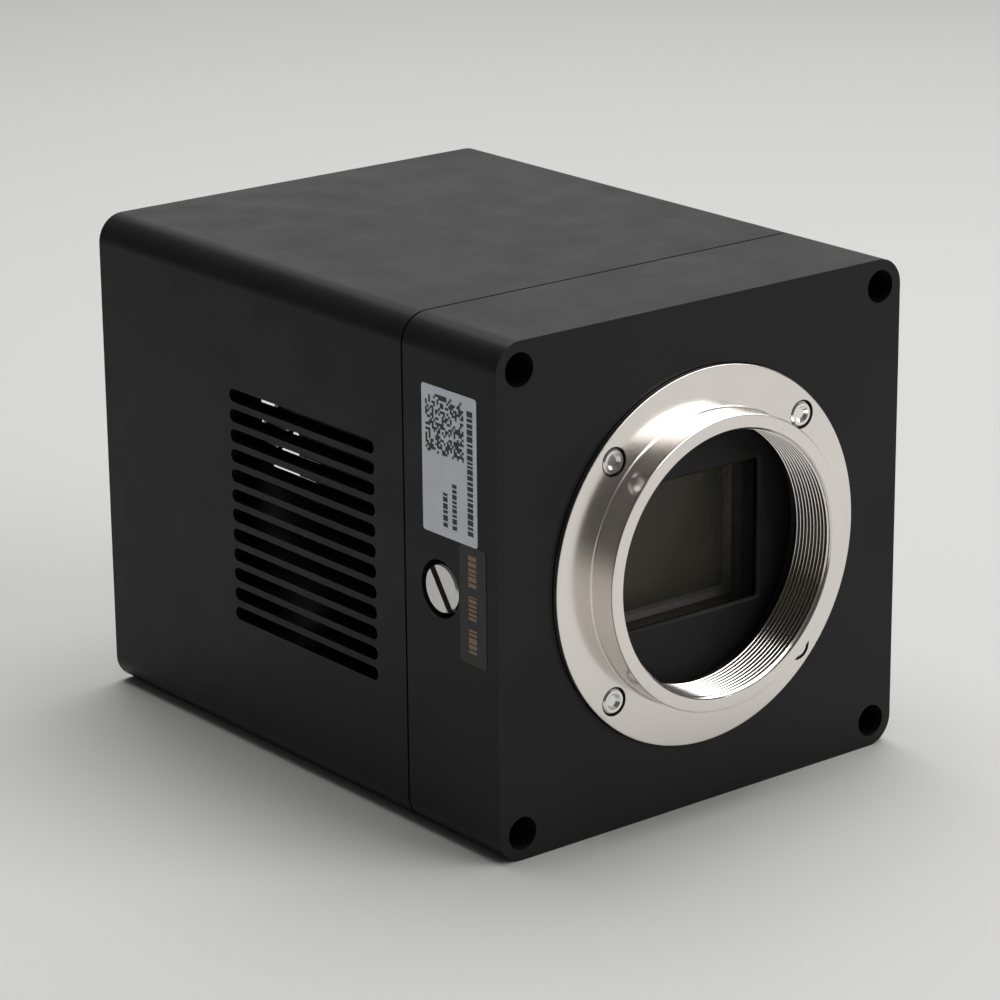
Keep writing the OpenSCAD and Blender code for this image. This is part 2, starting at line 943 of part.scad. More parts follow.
// Copies the children to the main board's fixing points: two at its front corners,
// and two between the sockets
module board_fixings() {
    for (point = [
        [-front_fixing_x, front_fixing_y],
        [front_fixing_x, front_fixing_y],
        [rear_fixing_x[0], rear_fixing_y],
        [rear_fixing_x[1], rear_fixing_y]
    ])
        translate([point[0], point[1], 0])
            children();
}

module main_board() {
    color([0.04, 0.22, 0.12])
        difference() {
            block(main_board_w, [main_board_start_y, main_board_end_y], [main_board_z, board_top_z]);
            board_fixings()
                translate([0, 0, main_board_z - eps])
                    cylinder(h = main_board_t + 2 * eps, r = board_hole_r);
        }
}

module board_standoffs() {
    color([0.8, 0.65, 0.3])
        board_fixings()
            translate([0, 0, main_board_z - standoff_h])
                difference() {
                    cylinder(h = standoff_h, r = standoff_r, $fn = 6);
                    translate([0, 0, -eps])
                        cylinder(h = standoff_h + 2 * eps, r = standoff_hole_r);
                }
}

module board_screws() {
    color([0.7, 0.7, 0.72])
        board_fixings()
            translate([0, 0, board_top_z + board_head_h])
                rotate([180, 0, 0])
                    cap_screw(board_head_r, board_head_h, board_screw_r, board_screw_len, board_head_r / 2);
}

module board_chips() {
    color([0.1, 0.1, 0.11]) {
        block(processor_w, [processor_y - processor_w / 2, processor_y + processor_w / 2],
            [board_top_z, board_top_z + processor_t]);
        two(memory_x)
            block(memory_size[0], [processor_y - memory_size[1] / 2, processor_y + memory_size[1] / 2],
                [board_top_z, board_top_z + memory_size[2]]);
    }
}

module power_inductors() {
    color([0.3, 0.3, 0.31])
        for (x = inductor_x)
            translate([x, 0, 0])
                block(inductor_w, [power_row_y, power_row_y + inductor_w],
                    [board_top_z, board_top_z + inductor_h]);
}

module board_capacitors() {
    color([0.7, 0.7, 0.74])
        for (x = capacitor_x)
            translate([x, power_row_y + capacitor_r, board_top_z])
                cylinder(h = capacitor_h, r = capacitor_r);
}

module flex_connector() {
    color([0.12, 0.11, 0.1])
        block(connector_w, [flex_connector_y, flex_connector_y + flex_connector_len],
            [board_top_z, ribbon_z + flex_connector_over]);
}

// Outline of the opening in the large data socket: a wide step below a narrow one
module usb_opening() {
    lower = [usb_w - 2 * usb_wall, usb_h * usb_step];
    upper = [usb_w * usb_step, usb_h - 2 * usb_wall];
    translate([-lower[0] / 2, usb_wall])
        square(lower);
    translate([-upper[0] / 2, usb_wall])
        square(upper);
}

module usb_shell() {
    color([0.75, 0.75, 0.76])
        translate([0, 0, board_top_z])
            plate(usb_face_y - usb_len, usb_len)
                difference() {
                    translate([-usb_w / 2, 0])
                        square([usb_w, usb_h]);
                    usb_opening();
                }
}

module usb_tongue() {
    block_y = usb_face_y - usb_len;
    color([0.05, 0.15, 0.5]) {
        translate([0, 0, board_top_z])
            plate(block_y, usb_block_len)
                usb_opening();
        block(usb_tongue_size[0], [block_y + usb_block_len - 1, block_y + usb_tongue_size[1]],
            [usb_tongue_z - usb_tongue_size[2] / 2, usb_tongue_z + usb_tongue_size[2] / 2]);
    }
}

module power_jack() {
    axis_z = board_top_z + jack_h / 2;
    color([0.08, 0.08, 0.08])
        translate([jack_x, 0, 0])
            difference() {
                block(jack_w, [jack_face_y - jack_len, jack_face_y], [board_top_z, board_top_z + jack_h]);
                translate([0, 0, axis_z])
                    rod(jack_face_y - jack_depth, jack_depth + eps, jack_hole_r);
            }
}

module power_jack_pin() {
    color([0.8, 0.8, 0.78])
        translate([jack_x, 0, board_top_z + jack_h / 2])
            rod(jack_face_y - jack_depth, jack_depth - jack_pin_recess, jack_pin_r);
}

module guide_socket() {
    middle_z = board_top_z + guide_h / 2;
    open_y = guide_face_y - guide_depth;
    color([0.09, 0.09, 0.09])
        translate([guide_x, 0, 0])
            difference() {
                block(guide_w, [guide_face_y - guide_len, guide_face_y], [board_top_z, board_top_z + guide_h]);
                block(guide_opening[0], [open_y, guide_face_y + eps],
                    [middle_z - guide_opening[1] / 2, middle_z + guide_opening[1] / 2]);
                block(guide_latch[0], [open_y, guide_face_y + eps],
                    [middle_z - guide_opening[1] / 2 - guide_latch[1], middle_z]);
            }
}

module guide_contacts() {
    open_y = guide_face_y - guide_depth;
    top_z = board_top_z + guide_h / 2 + guide_opening[1] / 2;
    color([0.85, 0.7, 0.3])
        for (k = [0 : contact_count - 1])
            translate([guide_x + (k - (contact_count - 1) / 2) * contact_pitch, 0, 0])
                block(contact_w, [open_y, guide_face_y - contact_recess], [top_z - contact_w, top_z]);
}

module status_light() {
    color([0.2, 0.8, 0.3, 0.8])
        translate([light_x, 0, light_z])
            rod(panel_y + panel_t + light_proud - light_len, light_len, light_r);
}

// ---------------------------------------------------------------- fan

module fan_frame() {
    strut_y = fan_y + fan_t - strut_t;
    color([0.06, 0.06, 0.065])
        translate([0, 0, fan_z]) {
            difference() {
                plate(fan_y, fan_t)
                    rounded([fan_w, fan_w], fan_corner_r);
                rod(fan_y - eps, fan_t + 2 * eps, fan_bore_r);
                four(fan_screw_pos, fan_screw_pos)
                    rod(fan_y - eps, fan_t + 2 * eps, fan_hole_r);
            }
            plate(strut_y, strut_t)
                difference() {
                    for (angle = [45, 135])
                        rotate(angle)
                            square([2 * (fan_bore_r + weld), strut_w], center = true);
                    circle(r = motor_plate_r - weld);
                }
            rod(motor_plate_y, motor_plate_t, motor_plate_r);
            tube(bearing_y - bearing_lip, motor_plate_y - bearing_y + bearing_lip + weld, bearing_tube_r, bearing_r);
        }
}

module fan_bearing() {
    color([0.75, 0.6, 0.35])
        translate([0, 0, fan_z])
            tube(bearing_y, bearing_end_y - bearing_y, bearing_r, shaft_r + shaft_gap);
}

module fan_stator() {
    color([0.72, 0.38, 0.2])
        translate([0, 0, fan_z])
            difference() {
                union() {
                    rod(stator_y, stator_len, stator_core_r);
                    for (angle = [0 : 90 : 270])
                        rotate([0, angle, 0])
                            translate([-stator_arm_w / 2, stator_y, 0])
                                cube([stator_arm_w, stator_len, stator_shoe_r - stator_shoe_t / 2]);
                    intersection() {
                        tube(stator_y, stator_len, stator_shoe_r, stator_shoe_r - stator_shoe_t);
                        for (angle = [0 : 90 : 270])
                            rotate([0, angle, 0])
                                translate([-stator_shoe_r / 2, stator_y, 0])
                                    cube([stator_shoe_r, stator_len, stator_shoe_r]);
                    }
                }
                rod(stator_y - eps, stator_len + 2 * eps, bearing_tube_r);
            }
}

// One flat blade, tilted about the radius and trimmed to the bore
module fan_blade() {
    tip_r = fan_bore_r - blade_gap;
    middle_y = fan_y + blade_start + blade_axial / 2;
    intersection() {
        tube(fan_y, fan_t, tip_r, hub_r - weld);
        translate([0, middle_y, 0])
            rotate([0, 0, blade_angle])
                translate([-blade_t / 2, -blade_chord / 2, hub_r / 2])
                    cube([blade_t, blade_chord, tip_r]);
    }
}

module fan_rotor() {
    color([0.05, 0.05, 0.055])
        translate([0, 0, fan_z])
            difference() {
                union() {
                    rod(rotor_y, cup_len, hub_r);
                    for (k = [0 : blade_count - 1])
                        rotate([0, k * 360 / blade_count, 0])
                            fan_blade();
                }
                rod(rotor_y + hub_plate_t, cup_len, hub_r - hub_wall);
                rod(rotor_y + shaft_seat, cup_len, shaft_r);
            }
}

module fan_magnet() {
    color([0.3, 0.3, 0.32])
        translate([0, 0, fan_z])
            tube(rotor_y + hub_plate_t, cup_len - hub_plate_t - magnet_gap, hub_r - hub_wall,
                hub_r - hub_wall - magnet_t);
}

module fan_shaft() {
    color([0.85, 0.85, 0.86])
        translate([0, 0, fan_z])
            rod(rotor_y + shaft_seat, bearing_end_y - shaft_tip_gap - rotor_y - shaft_seat, shaft_r);
}

module fan_screws() {
    head_y = panel_y + panel_t + guard_t;
    color([0.12, 0.12, 0.12])
        translate([0, 0, fan_z])
            four(fan_screw_pos, fan_screw_pos)
                facing_front(head_y + fan_screw_head_h)
                    cap_screw(fan_screw_head_r, fan_screw_head_h, fan_screw_r, fan_screw_len, m3_hex_r);
}

// Outline of the stamped guard: rings on four spokes
module guard_outline() {
    difference() {
        rounded([fan_w, fan_w], fan_corner_r);
        circle(r = guard_open_r);
        for (x = [-fan_screw_pos, fan_screw_pos], z = [-fan_screw_pos, fan_screw_pos])
            translate([x, z])
                circle(r = fan_hole_r);
    }
    circle(r = guard_hub_r);
    for (k = [1 : guard_rings - 1])
        difference() {
            circle(r = guard_hub_r + k * guard_ring_pitch);
            circle(r = guard_hub_r + k * guard_ring_pitch - guard_ring_w);
        }
    for (angle = [45, 135])
        rotate(angle)
            square([2 * (guard_open_r + weld), guard_spoke_w], center = true);
}

module fan_guard() {
    color([0.7, 0.7, 0.72])
        translate([0, 0, fan_z])
            plate(panel_y + panel_t, guard_t)
                guard_outline();
}

module rear_panel() {
    color([0.06, 0.06, 0.065])
        difference() {
            plate(panel_y, panel_t)
                difference() {
                    rounded([cavity_w - 2 * panel_gap, cavity_w - 2 * panel_gap], cavity_r);
                    translate([0, board_top_z + usb_h / 2])
                        square([usb_w + 2 * socket_gap, usb_h + 2 * socket_gap], center = true);
                    translate([jack_x, board_top_z + jack_h / 2])
                        square([jack_w + 2 * socket_gap, jack_h + 2 * socket_gap], center = true);
                    translate([guide_x, board_top_z + guide_h / 2])
                        square([guide_w + 2 * socket_gap, guide_h + 2 * socket_gap], center = true);
                }
            translate([0, 0, fan_z]) {
                rod(panel_y - eps, panel_t + 2 * eps, guard_open_r);
                four(fan_screw_pos, fan_screw_pos)
                    rod(panel_y - eps, panel_t + 2 * eps, fan_hole_r);
            }
            translate([light_x, 0, light_z])
                rod(panel_y - eps, panel_t + 2 * eps, light_r + light_gap);
            four(panel_screw_pos, panel_screw_pos)
                facing_front(panel_y + panel_t)
                    flat_hole(m25_flat_r + flat_gap, m25_flat_h, m25_hole_r, panel_t + eps);
        }
}

module rear_panel_screws() {
    color([0.15, 0.15, 0.16])
        four(panel_screw_pos, panel_screw_pos)
            facing_front(panel_y + panel_t)
                flat_screw(m25_flat_r, m25_flat_h, m25_r, panel_t + panel_screw_len - panel_screw_tip_gap, m25_hex_r);
}

// ---------------------------------------------------------------- parts

front_housing();
mount_ring();
mount_shim();
mount_ring_screws();
window_retainer();
chamber_window();
window_seal();
corner_screws();
chamber_plug();
plug_seal();
code_label();
side_sticker();
desiccant_tablets();
seam_gasket();
chamber_seal();
sensor_package();
sensor_die();
sensor_cover_glass();
sensor_baffle();
sensor_board();
sensor_posts();
sensor_board_screws();
sensor_connector();
flex_cable();
thermal_pad();
cold_finger();
clamp_screws();
cooler_cold_plate();
cooler_pellets();
cooler_hot_plate();
cold_insulation();
heat_sink();
heat_sink_screws();
rear_housing();
tripod_insert();
main_board();
board_standoffs();
board_screws();
board_chips();
power_inductors();
board_capacitors();
flex_connector();
usb_shell();
usb_tongue();
power_jack();
power_jack_pin();
guide_socket();
guide_contacts();
status_light();
fan_frame();
fan_bearing();
fan_stator();
fan_rotor();
fan_magnet();
fan_shaft();
fan_screws();
fan_guard();
rear_panel();
rear_panel_screws();
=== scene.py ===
"""Looks of a cooled astronomy camera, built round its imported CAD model.

The file is laid out as an add-on: property groups hold the sizes and colours, one
operator makes each piece or group of like pieces, and a panel lists the operators.
Lengths are in metres. -Y points out of the lens mount, and +Z is up.
"""

import json
import math
import random

import bmesh
import bpy
from bpy.props import FloatProperty, FloatVectorProperty, IntProperty, PointerProperty
from bpy.types import Operator, Panel, PropertyGroup
from mathutils import Matrix, Vector

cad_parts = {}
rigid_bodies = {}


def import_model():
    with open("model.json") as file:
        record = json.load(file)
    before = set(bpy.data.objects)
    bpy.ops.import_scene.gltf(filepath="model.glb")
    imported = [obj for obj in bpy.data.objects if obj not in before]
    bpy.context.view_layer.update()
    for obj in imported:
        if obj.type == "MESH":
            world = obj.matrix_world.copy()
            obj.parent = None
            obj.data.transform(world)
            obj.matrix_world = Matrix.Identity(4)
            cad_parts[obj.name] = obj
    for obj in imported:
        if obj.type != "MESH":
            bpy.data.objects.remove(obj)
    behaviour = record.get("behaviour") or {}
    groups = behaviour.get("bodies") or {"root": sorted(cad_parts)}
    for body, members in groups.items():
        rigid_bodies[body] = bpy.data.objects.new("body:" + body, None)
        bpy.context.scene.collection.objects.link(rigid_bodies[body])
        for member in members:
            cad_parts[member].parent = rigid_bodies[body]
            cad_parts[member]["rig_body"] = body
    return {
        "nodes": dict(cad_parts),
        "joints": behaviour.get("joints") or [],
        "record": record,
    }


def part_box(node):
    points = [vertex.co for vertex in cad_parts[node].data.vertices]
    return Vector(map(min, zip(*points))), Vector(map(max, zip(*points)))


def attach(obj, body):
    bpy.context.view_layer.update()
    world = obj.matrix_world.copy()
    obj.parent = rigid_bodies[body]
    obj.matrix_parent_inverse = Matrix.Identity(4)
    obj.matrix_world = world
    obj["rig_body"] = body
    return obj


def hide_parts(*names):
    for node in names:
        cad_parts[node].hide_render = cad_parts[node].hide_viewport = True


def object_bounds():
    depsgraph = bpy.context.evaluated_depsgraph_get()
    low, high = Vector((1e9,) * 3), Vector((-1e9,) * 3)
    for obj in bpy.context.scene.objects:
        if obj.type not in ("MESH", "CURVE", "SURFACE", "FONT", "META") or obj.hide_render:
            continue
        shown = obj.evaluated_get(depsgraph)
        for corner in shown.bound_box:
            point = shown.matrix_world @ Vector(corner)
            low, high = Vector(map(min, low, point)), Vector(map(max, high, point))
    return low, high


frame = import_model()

bl_info = {
    "name": "Cooled Astronomy Camera",
    "version": (1, 0, 0),
    "blender": (4, 5, 0),
    "location": "View3D > Sidebar > Camera",
    "description": "Makes the visible pieces and materials of a cooled astronomy camera",
    "category": "Object",
}

MM = 0.001
CAD_BOX = [list(corner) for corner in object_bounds()]
FAN_AXIS = [joint["pos_m"] for joint in frame["joints"] if joint["name"] == "fan_spin"][0]

WELD = 1e-6  # corners nearer than this are joined
ON_AXIS = 1e-7  # a ring with a smaller radius is a point
FLAT = math.radians(0.4)  # faces that meet at less than this become one
SHARP = 35  # degrees between faces above which an edge stays sharp
NOISE_LOW, NOISE_HIGH = 0.3, 0.7  # the range that most of a noise's values lie in
FILM_THICKNESS = 0.07 * MM
MARK_THICKNESS = 0.03 * MM


# ---- settings ----


def length(name, description, default):
    """A length, in metres."""
    return FloatProperty(name=name, description=description, default=default, unit="LENGTH")


def angle(name, description, degrees):
    """An angle, whose default is given in degrees."""
    turn = math.radians(degrees)
    return FloatProperty(name=name, description=description, default=turn, subtype="ANGLE")


def tint(name, description, default):
    """A colour."""
    return FloatVectorProperty(
        name=name, description=description, default=default, subtype="COLOR"
    )


def count(name, description, default, low=0):
    """A whole number."""
    return IntProperty(name=name, description=description, default=default, min=low)


class CasingSettings(PropertyGroup):
    """Edges and finish of the black casing."""

    edge: length(
        "Edge rounding", "Width of the small rounding on the casing's outer edges", 0.3 * MM
    )
    slot_edge: length(
        "Slot edge", "Width of the rounding on vent slots and screw holes", 0.12 * MM
    )
    colour: tint("Anodising", "Colour of the black anodised aluminium", (0.0115, 0.0114, 0.0116))


class MountSettings(PropertyGroup):
    """Shape and finish of the turned lens mount."""

    pitch: length(
        "Thread pitch", "Distance from one turn of the lens thread to the next", 0.75 * MM
    )
    depth: length("Thread depth", "Depth of the lens thread below its crest", 0.36 * MM)
    chamfer: length("Chamfer", "Width of the chamfers on the collar and the flange", 0.3 * MM)
    collar_radius: length(
        "Collar radius", "Outer radius of the collar in front of the flange", 23.15 * MM
    )
    screw_gap: length(
        "Screw gap", "Gap between a flange screw's head and the wall of its hole", 0.33 * MM
    )
    segments: count("Segments", "Number of steps round the ring", 192, 48)
    colour: tint("Ring metal", "Colour of the turned ring", (0.80, 0.755, 0.71))


class SensorSettings(PropertyGroup):
    """Colours of the sensor behind the window."""

    die_colour: tint(
        "Sensor surface", "Colour of the light-sensitive surface", (0.060, 0.047, 0.019)
    )
    rim_colour: tint(
        "Carrier rim", "Colour of the metallised rim round the sensor's glass", (0.14, 0.115, 0.11)
    )


class LabelSettings(PropertyGroup):
    """The port plug, the pale label and the dark sticker on the side."""

    # Faces of the plug's slot within this radius get the darker painted shade.
    plug_rim: length(
        "Plug slot reach",
        "Radius within which faces below the plug's front belong to its slot",
        3.4 * MM,
    )
    cells: count("Code cells", "Number of cells along one side of the generic code block", 23, 6)
    seed: count("Code seed", "Seed of the random cells in the code block", 11)
    paper: tint("Label film", "Colour of the pale label", (0.78, 0.79, 0.85))
    ink: tint("Label ink", "Colour of the marks on the pale label", (0.02, 0.02, 0.024))
    bronze: tint("Sticker ink", "Colour of the bars on the dark sticker", (0.27, 0.165, 0.08))


class FanSettings(PropertyGroup):
    """Shape of the fan's rotor."""

    blades: count("Blades", "Number of fan blades", 7, 3)
    hub_radius: length("Hub radius", "Radius of the rotor's hub", 10 * MM)
    blade_thickness: length("Blade thickness", "Thickness of a fan blade", 0.9 * MM)
    blade_pitch: angle(
        "Blade pitch", "Tilt of a blade at its middle, measured from the fan's axis", 52
    )


class StageSettings(PropertyGroup):
    """Viewpoint, floor and light."""

    azimuth: angle("Azimuth", "Direction of the viewpoint round the camera body", -38.64)
    elevation: angle("Elevation", "Height angle of the viewpoint", 17.97)
    roll: angle("Roll", "Roll of the viewpoint about its line of sight", -0.528)
    distance: length(
        "Distance", "Distance of the viewpoint from the middle of the body", 605.9 * MM
    )
    lens: FloatProperty(
        name="Lens",
        description="Focal length of the viewpoint in millimetres, on a 36 mm sensor",
        default=136.1,
    )
    offset_right: length(
        "Offset right", "Sideways offset of the viewpoint in its own plane", -0.78 * MM
    )
    offset_up: length("Offset up", "Upward offset of the viewpoint in its own plane", -2.98 * MM)
    floor_colour: tint("Floor", "Colour of the floor", (0.55, 0.55, 0.545))


def settings(group):
    """Returns one of the scene's settings groups."""
    return getattr(bpy.context.scene, "astro_" + group)


# ---- mesh helpers ----


def bare_copy(node):
    """A bmesh with the shape of a CAD node, its corners joined."""
    source = frame["nodes"][node].data
    mesh = bmesh.new()
    verts = [mesh.verts.new(vert.co) for vert in source.vertices]
    for polygon in source.polygons:
        mesh.faces.new([verts[index] for index in polygon.vertices])
    bmesh.ops.remove_doubles(mesh, verts=mesh.verts, dist=WELD)
    return mesh


def solids_of(node):
    """The lowest and highest corners of each separate solid of a CAD node."""
    mesh = bare_copy(node)
    unseen = set(mesh.verts)
    found = []
    while unseen:
        group = [unseen.pop()]
        for vert in group:
            for edge in vert.link_edges:
                other = edge.other_vert(vert)
                if other in unseen:
                    unseen.remove(other)
                    group.append(other)
        low = Vector([min(v.co[axis] for v in group) for axis in range(3)])
        high = Vector([max(v.co[axis] for v in group) for axis in range(3)])
        found.append((low, high))
    mesh.free()
    return sorted(found, key=lambda pair: tuple(pair[0]))


def join_rows(mesh, first, second):
    """Joins two rows of corners by four-sided faces."""
    for step in range(len(first) - 1):
        mesh.faces.new((first[step], first[step + 1], second[step + 1], second[step]))


def lathe(mesh, profile, steps, centre=(0.0, 0.0), closed=True):
    """Turns a profile of (radius, y) points round an axis along Y.

    A closed profile's last point is joined to its first, unless that lies on the axis.
    """
    rings = []
    for radius, y in profile:
        ring = []
        for step in range(1 if radius < ON_AXIS else steps):
            turn = 2 * math.pi * step / steps
            x = centre[0] + radius * math.cos(turn)
            z = centre[1] + radius * math.sin(turn)
            ring.append(mesh.verts.new((x, y, z)))
        rings.append(ring)
    pairs = list(zip(rings, rings[1:]))
    if closed and len(rings[0]) > 1:
        pairs.append((rings[-1], rings[0]))
    for first, second in pairs:
        if len(first) == len(second) == 1:
            continue
        for step in range(steps):
            ahead = (step + 1) % steps
            corners = (
                first[step % len(first)],
                second[step % len(second)],
                second[ahead % len(second)],
                first[ahead % len(first)],
            )
            mesh.faces.new(tuple(dict.fromkeys(corners)))  # a point on the axis counts once


def round_off(radius, y, edge, share=0.3):
    """Points that round off the outer front corner of a turned profile."""
    inset = share * edge
    return [(radius - edge, y), (radius - inset, y + inset), (radius, y + edge)]


def box_mesh(mesh, low, high):
    """Adds a box between two corners."""
    size = Vector(high) - Vector(low)
    centre = (Vector(high) + Vector(low)) / 2
    place = Matrix.Translation(centre) @ Matrix.Diagonal((*size, 1))
    bmesh.ops.create_cube(mesh, size=1, matrix=place)


def new_object(name, mesh):
    """Turns a bmesh into an object in the scene."""
    bmesh.ops.recalc_face_normals(mesh, faces=mesh.faces)
    data = bpy.data.meshes.new(name)
    mesh.to_mesh(data)
    mesh.free()
    piece = bpy.data.objects.new(name, data)
    bpy.context.scene.collection.objects.link(piece)
    return piece


def apply_modifiers(piece):
    """Replaces an object's mesh by the result of its modifiers."""
    bpy.context.view_layer.update()
    graph = bpy.context.evaluated_depsgraph_get()
    result = bpy.data.meshes.new_from_object(piece.evaluated_get(graph))
    piece.modifiers.clear()
    piece.data = result


def cut(piece, tools):
    """Cuts the tools out of a piece, and removes them."""
    for tool in tools:
        change = piece.modifiers.new("cut", "BOOLEAN")
        change.operation = "DIFFERENCE"
        change.solver = "EXACT"
        change.object = tool
    apply_modifiers(piece)
    for tool in tools:
        bpy.data.objects.remove(tool)


def shade(piece, degrees=SHARP):
    """Shades a piece smooth, except across its sharp edges."""
    data = piece.data
    data.polygons.foreach_set("use_smooth", [True] * len(data.polygons))
    data.set_sharp_from_angle(angle=math.radians(degrees))
    weights = piece.modifiers.new("normals", "WEIGHTED_NORMAL")
    weights.keep_sharp = True
    weights.weight = 100
    apply_modifiers(piece)


def dress(piece, material, body, slot, *nodes):
    """Gives a piece its material and body, and hides the CAD nodes that it stands for."""
    piece.data.materials.clear()
    piece.data.materials.append(material)
    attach(piece, body)
    if nodes:
        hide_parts(*nodes)
    return piece


def slot_of(node):
    """The record's material slot of a CAD node."""
    for entry in frame["record"]["subparts"]:
        if entry["node"] == node:
            return entry["material_slot"]
    raise ValueError("no slot for " + node)


def body_of(node):
    """The body that a CAD node rides on."""
    return frame["nodes"][node]["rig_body"]


def paint(material, *nodes):
    """Gives CAD nodes a material, and leaves their shape as it is."""
    for node in nodes:
        for entry in frame["nodes"][node].material_slots:
            entry.material = material


def crisp(node, width, material, steps=2, degrees=SHARP):
    """Makes a copy of a CAD node with clean flat faces and small rounded edges."""
    mesh = bare_copy(node)
    bmesh.ops.dissolve_limit(mesh, angle_limit=FLAT, verts=mesh.verts, edges=mesh.edges)
    sharp = [
        edge
        for edge in mesh.edges
        if len(edge.link_faces) == 2 and edge.calc_face_angle() > math.radians(degrees)
    ]
    if width > 0:
        bevel = {"offset": width, "segments": steps, "profile": 0.5, "affect": "EDGES"}
        bmesh.ops.bevel(mesh, geom=sharp, clamp_overlap=True, **bevel)
    piece = new_object(node + "_finished", mesh)
    shade(piece, degrees)
    return dress(piece, material, body_of(node), slot_of(node), node)


# ---- material helpers ----


class Finish:
    """A procedural material on one Principled shader, with places given in metres."""

    def __init__(self, name, **values):
        self.material = bpy.data.materials.new(name)
        self.material.use_nodes = True
        self.nodes = self.material.node_tree.nodes
        self.links = self.material.node_tree.links
        self.shader = self.nodes["Principled BSDF"]
        self.place = self.nodes.new("ShaderNodeTexCoord").outputs["Object"]
        self.normal = None
        sockets = {socket.name.lower(): socket for socket in self.shader.inputs}
        for key, value in {"metallic": 0.0, **values}.items():
            socket = sockets[key.replace("_", " ")]
            socket.default_value = (*value, 1.0) if socket.type == "RGBA" else value

    def link(self, source, key):
        """Links a texture to one of the shader's inputs."""
        self.links.new(source, self.shader.inputs[key])

    def texture(self, kind, size, stretch=(1, 1, 1)):
        """A texture node whose features are about size, over stretch."""
        node = self.nodes.new("ShaderNodeTex" + kind)
        node.inputs["Scale"].default_value = 1.0
        mapping = self.nodes.new("ShaderNodeMapping")
        mapping.inputs["Scale"].default_value = [factor / size for factor in stretch]
        self.links.new(self.place, mapping.inputs["Vector"])
        self.links.new(mapping.outputs["Vector"], node.inputs["Vector"])
        return node

    def noise(self, size, stretch=(1, 1, 1), detail=3.0):
        """Smooth noise with features of about size."""
        node = self.texture("Noise", size, stretch)
        node.inputs["Detail"].default_value = detail
        return node.outputs["Fac"]

    def cells(self, size):
        """Distance to the points of a cell pattern."""
        return self.texture("Voronoi", size).outputs["Distance"]

    def ramp(self, source, start=NOISE_LOW, end=NOISE_HIGH, low=0.0, high=1.0):
        """Maps source from the range start..end to low..high."""
        node = self.nodes.new("ShaderNodeMapRange")
        limits = {"From Min": start, "From Max": end, "To Min": low, "To Max": high}
        for name, value in limits.items():
            node.inputs[name].default_value = value
        self.links.new(source, node.inputs["Value"])
        return node.outputs["Result"]

    def math(self, operation, *values):
        """A math node on sockets or numbers."""
        node = self.nodes.new("ShaderNodeMath")
        node.operation = operation
        for socket, value in zip(node.inputs, values):
            if isinstance(value, (int, float)):
                socket.default_value = value
            else:
                self.links.new(value, socket)
        return node.outputs["Value"]

    def axis(self, name):
        """One coordinate of the object's place, in metres."""
        node = self.nodes.new("ShaderNodeSeparateXYZ")
        self.links.new(self.place, node.inputs["Vector"])
        return node.outputs[name]

    def blend(self, factor, first, second):
        """Mixes two colours, each a triple or a socket."""
        node = self.nodes.new("ShaderNodeMix")
        node.data_type = "RGBA"
        self.links.new(factor, node.inputs["Factor"])
        colours = [socket for socket in node.inputs if socket.type == "RGBA"]
        for socket, value in zip(colours, (first, second)):
            if isinstance(value, bpy.types.NodeSocket):
                self.links.new(value, socket)
            else:
                socket.default_value = (*value, 1.0)
        return [socket for socket in node.outputs if socket.type == "RGBA"][0]

    def bump(self, height, depth):
        """Adds a relief whose height runs over depth metres."""
        node = self.nodes.new("ShaderNodeBump")
        node.inputs["Strength"].default_value = 1.0
        node.inputs["Distance"].default_value = depth
        self.links.new(height, node.inputs["Height"])
        if self.normal is not None:
            self.links.new(self.normal, node.inputs["Normal"])
        self.normal = node.outputs["Normal"]
        self.link(self.normal, "Normal")

    def tone(self, colour, patch, spread, roughness):
        """Varies the colour by spread over patches, and the roughness over its range."""
        darker = [channel * (1 - spread) for channel in colour]
        lighter = [min(1.0, channel * (1 + spread)) for channel in colour]
        colours = self.blend(self.ramp(self.noise(patch)), darker, lighter)
        self.link(colours, "Base Color")
        self.rough(patch * 0.4, roughness)
        return colours

    def rough(self, patch, limits):
        """Varies the roughness between two limits over patches."""
        low, high = limits
        self.link(self.ramp(self.noise(patch), low=low, high=high), "Roughness")


def scaled(colour, factor):
    """A colour made darker or lighter by a factor."""
    return [channel * factor for channel in colour]


def plain(name, colour, patch, spread, roughness, grain, depth, detail=3.0, **values):
    """A toned material with one relief of grain size and depth."""
    finish = Finish(name, **values)
    finish.tone(colour, patch, spread, roughness)
    finish.bump(finish.noise(grain, detail=detail), depth)
    return finish.material


def anodised(name):
    """Bead-blasted aluminium with a satin black anodised layer and a little dust."""
    colour = settings("casing").colour
    finish = Finish(name, specular_ior_level=0.16, ior=1.5)
    base = finish.tone(colour, 18 * MM, 0.10, (0.36, 0.44))
    specks = finish.ramp(finish.cells(1.6 * MM), 0.035, 0.02)
    scarce = finish.ramp(finish.noise(9 * MM), 0.55, 0.7)
    dust = finish.math("MULTIPLY", specks, scarce)
    finish.link(finish.blend(dust, base, scaled(colour, 3.0)), "Base Color")
    finish.bump(finish.noise(0.09 * MM, detail=2.0), 3.0e-6)
    finish.bump(finish.noise(0.6 * MM), 1.5e-6)
    return finish.material


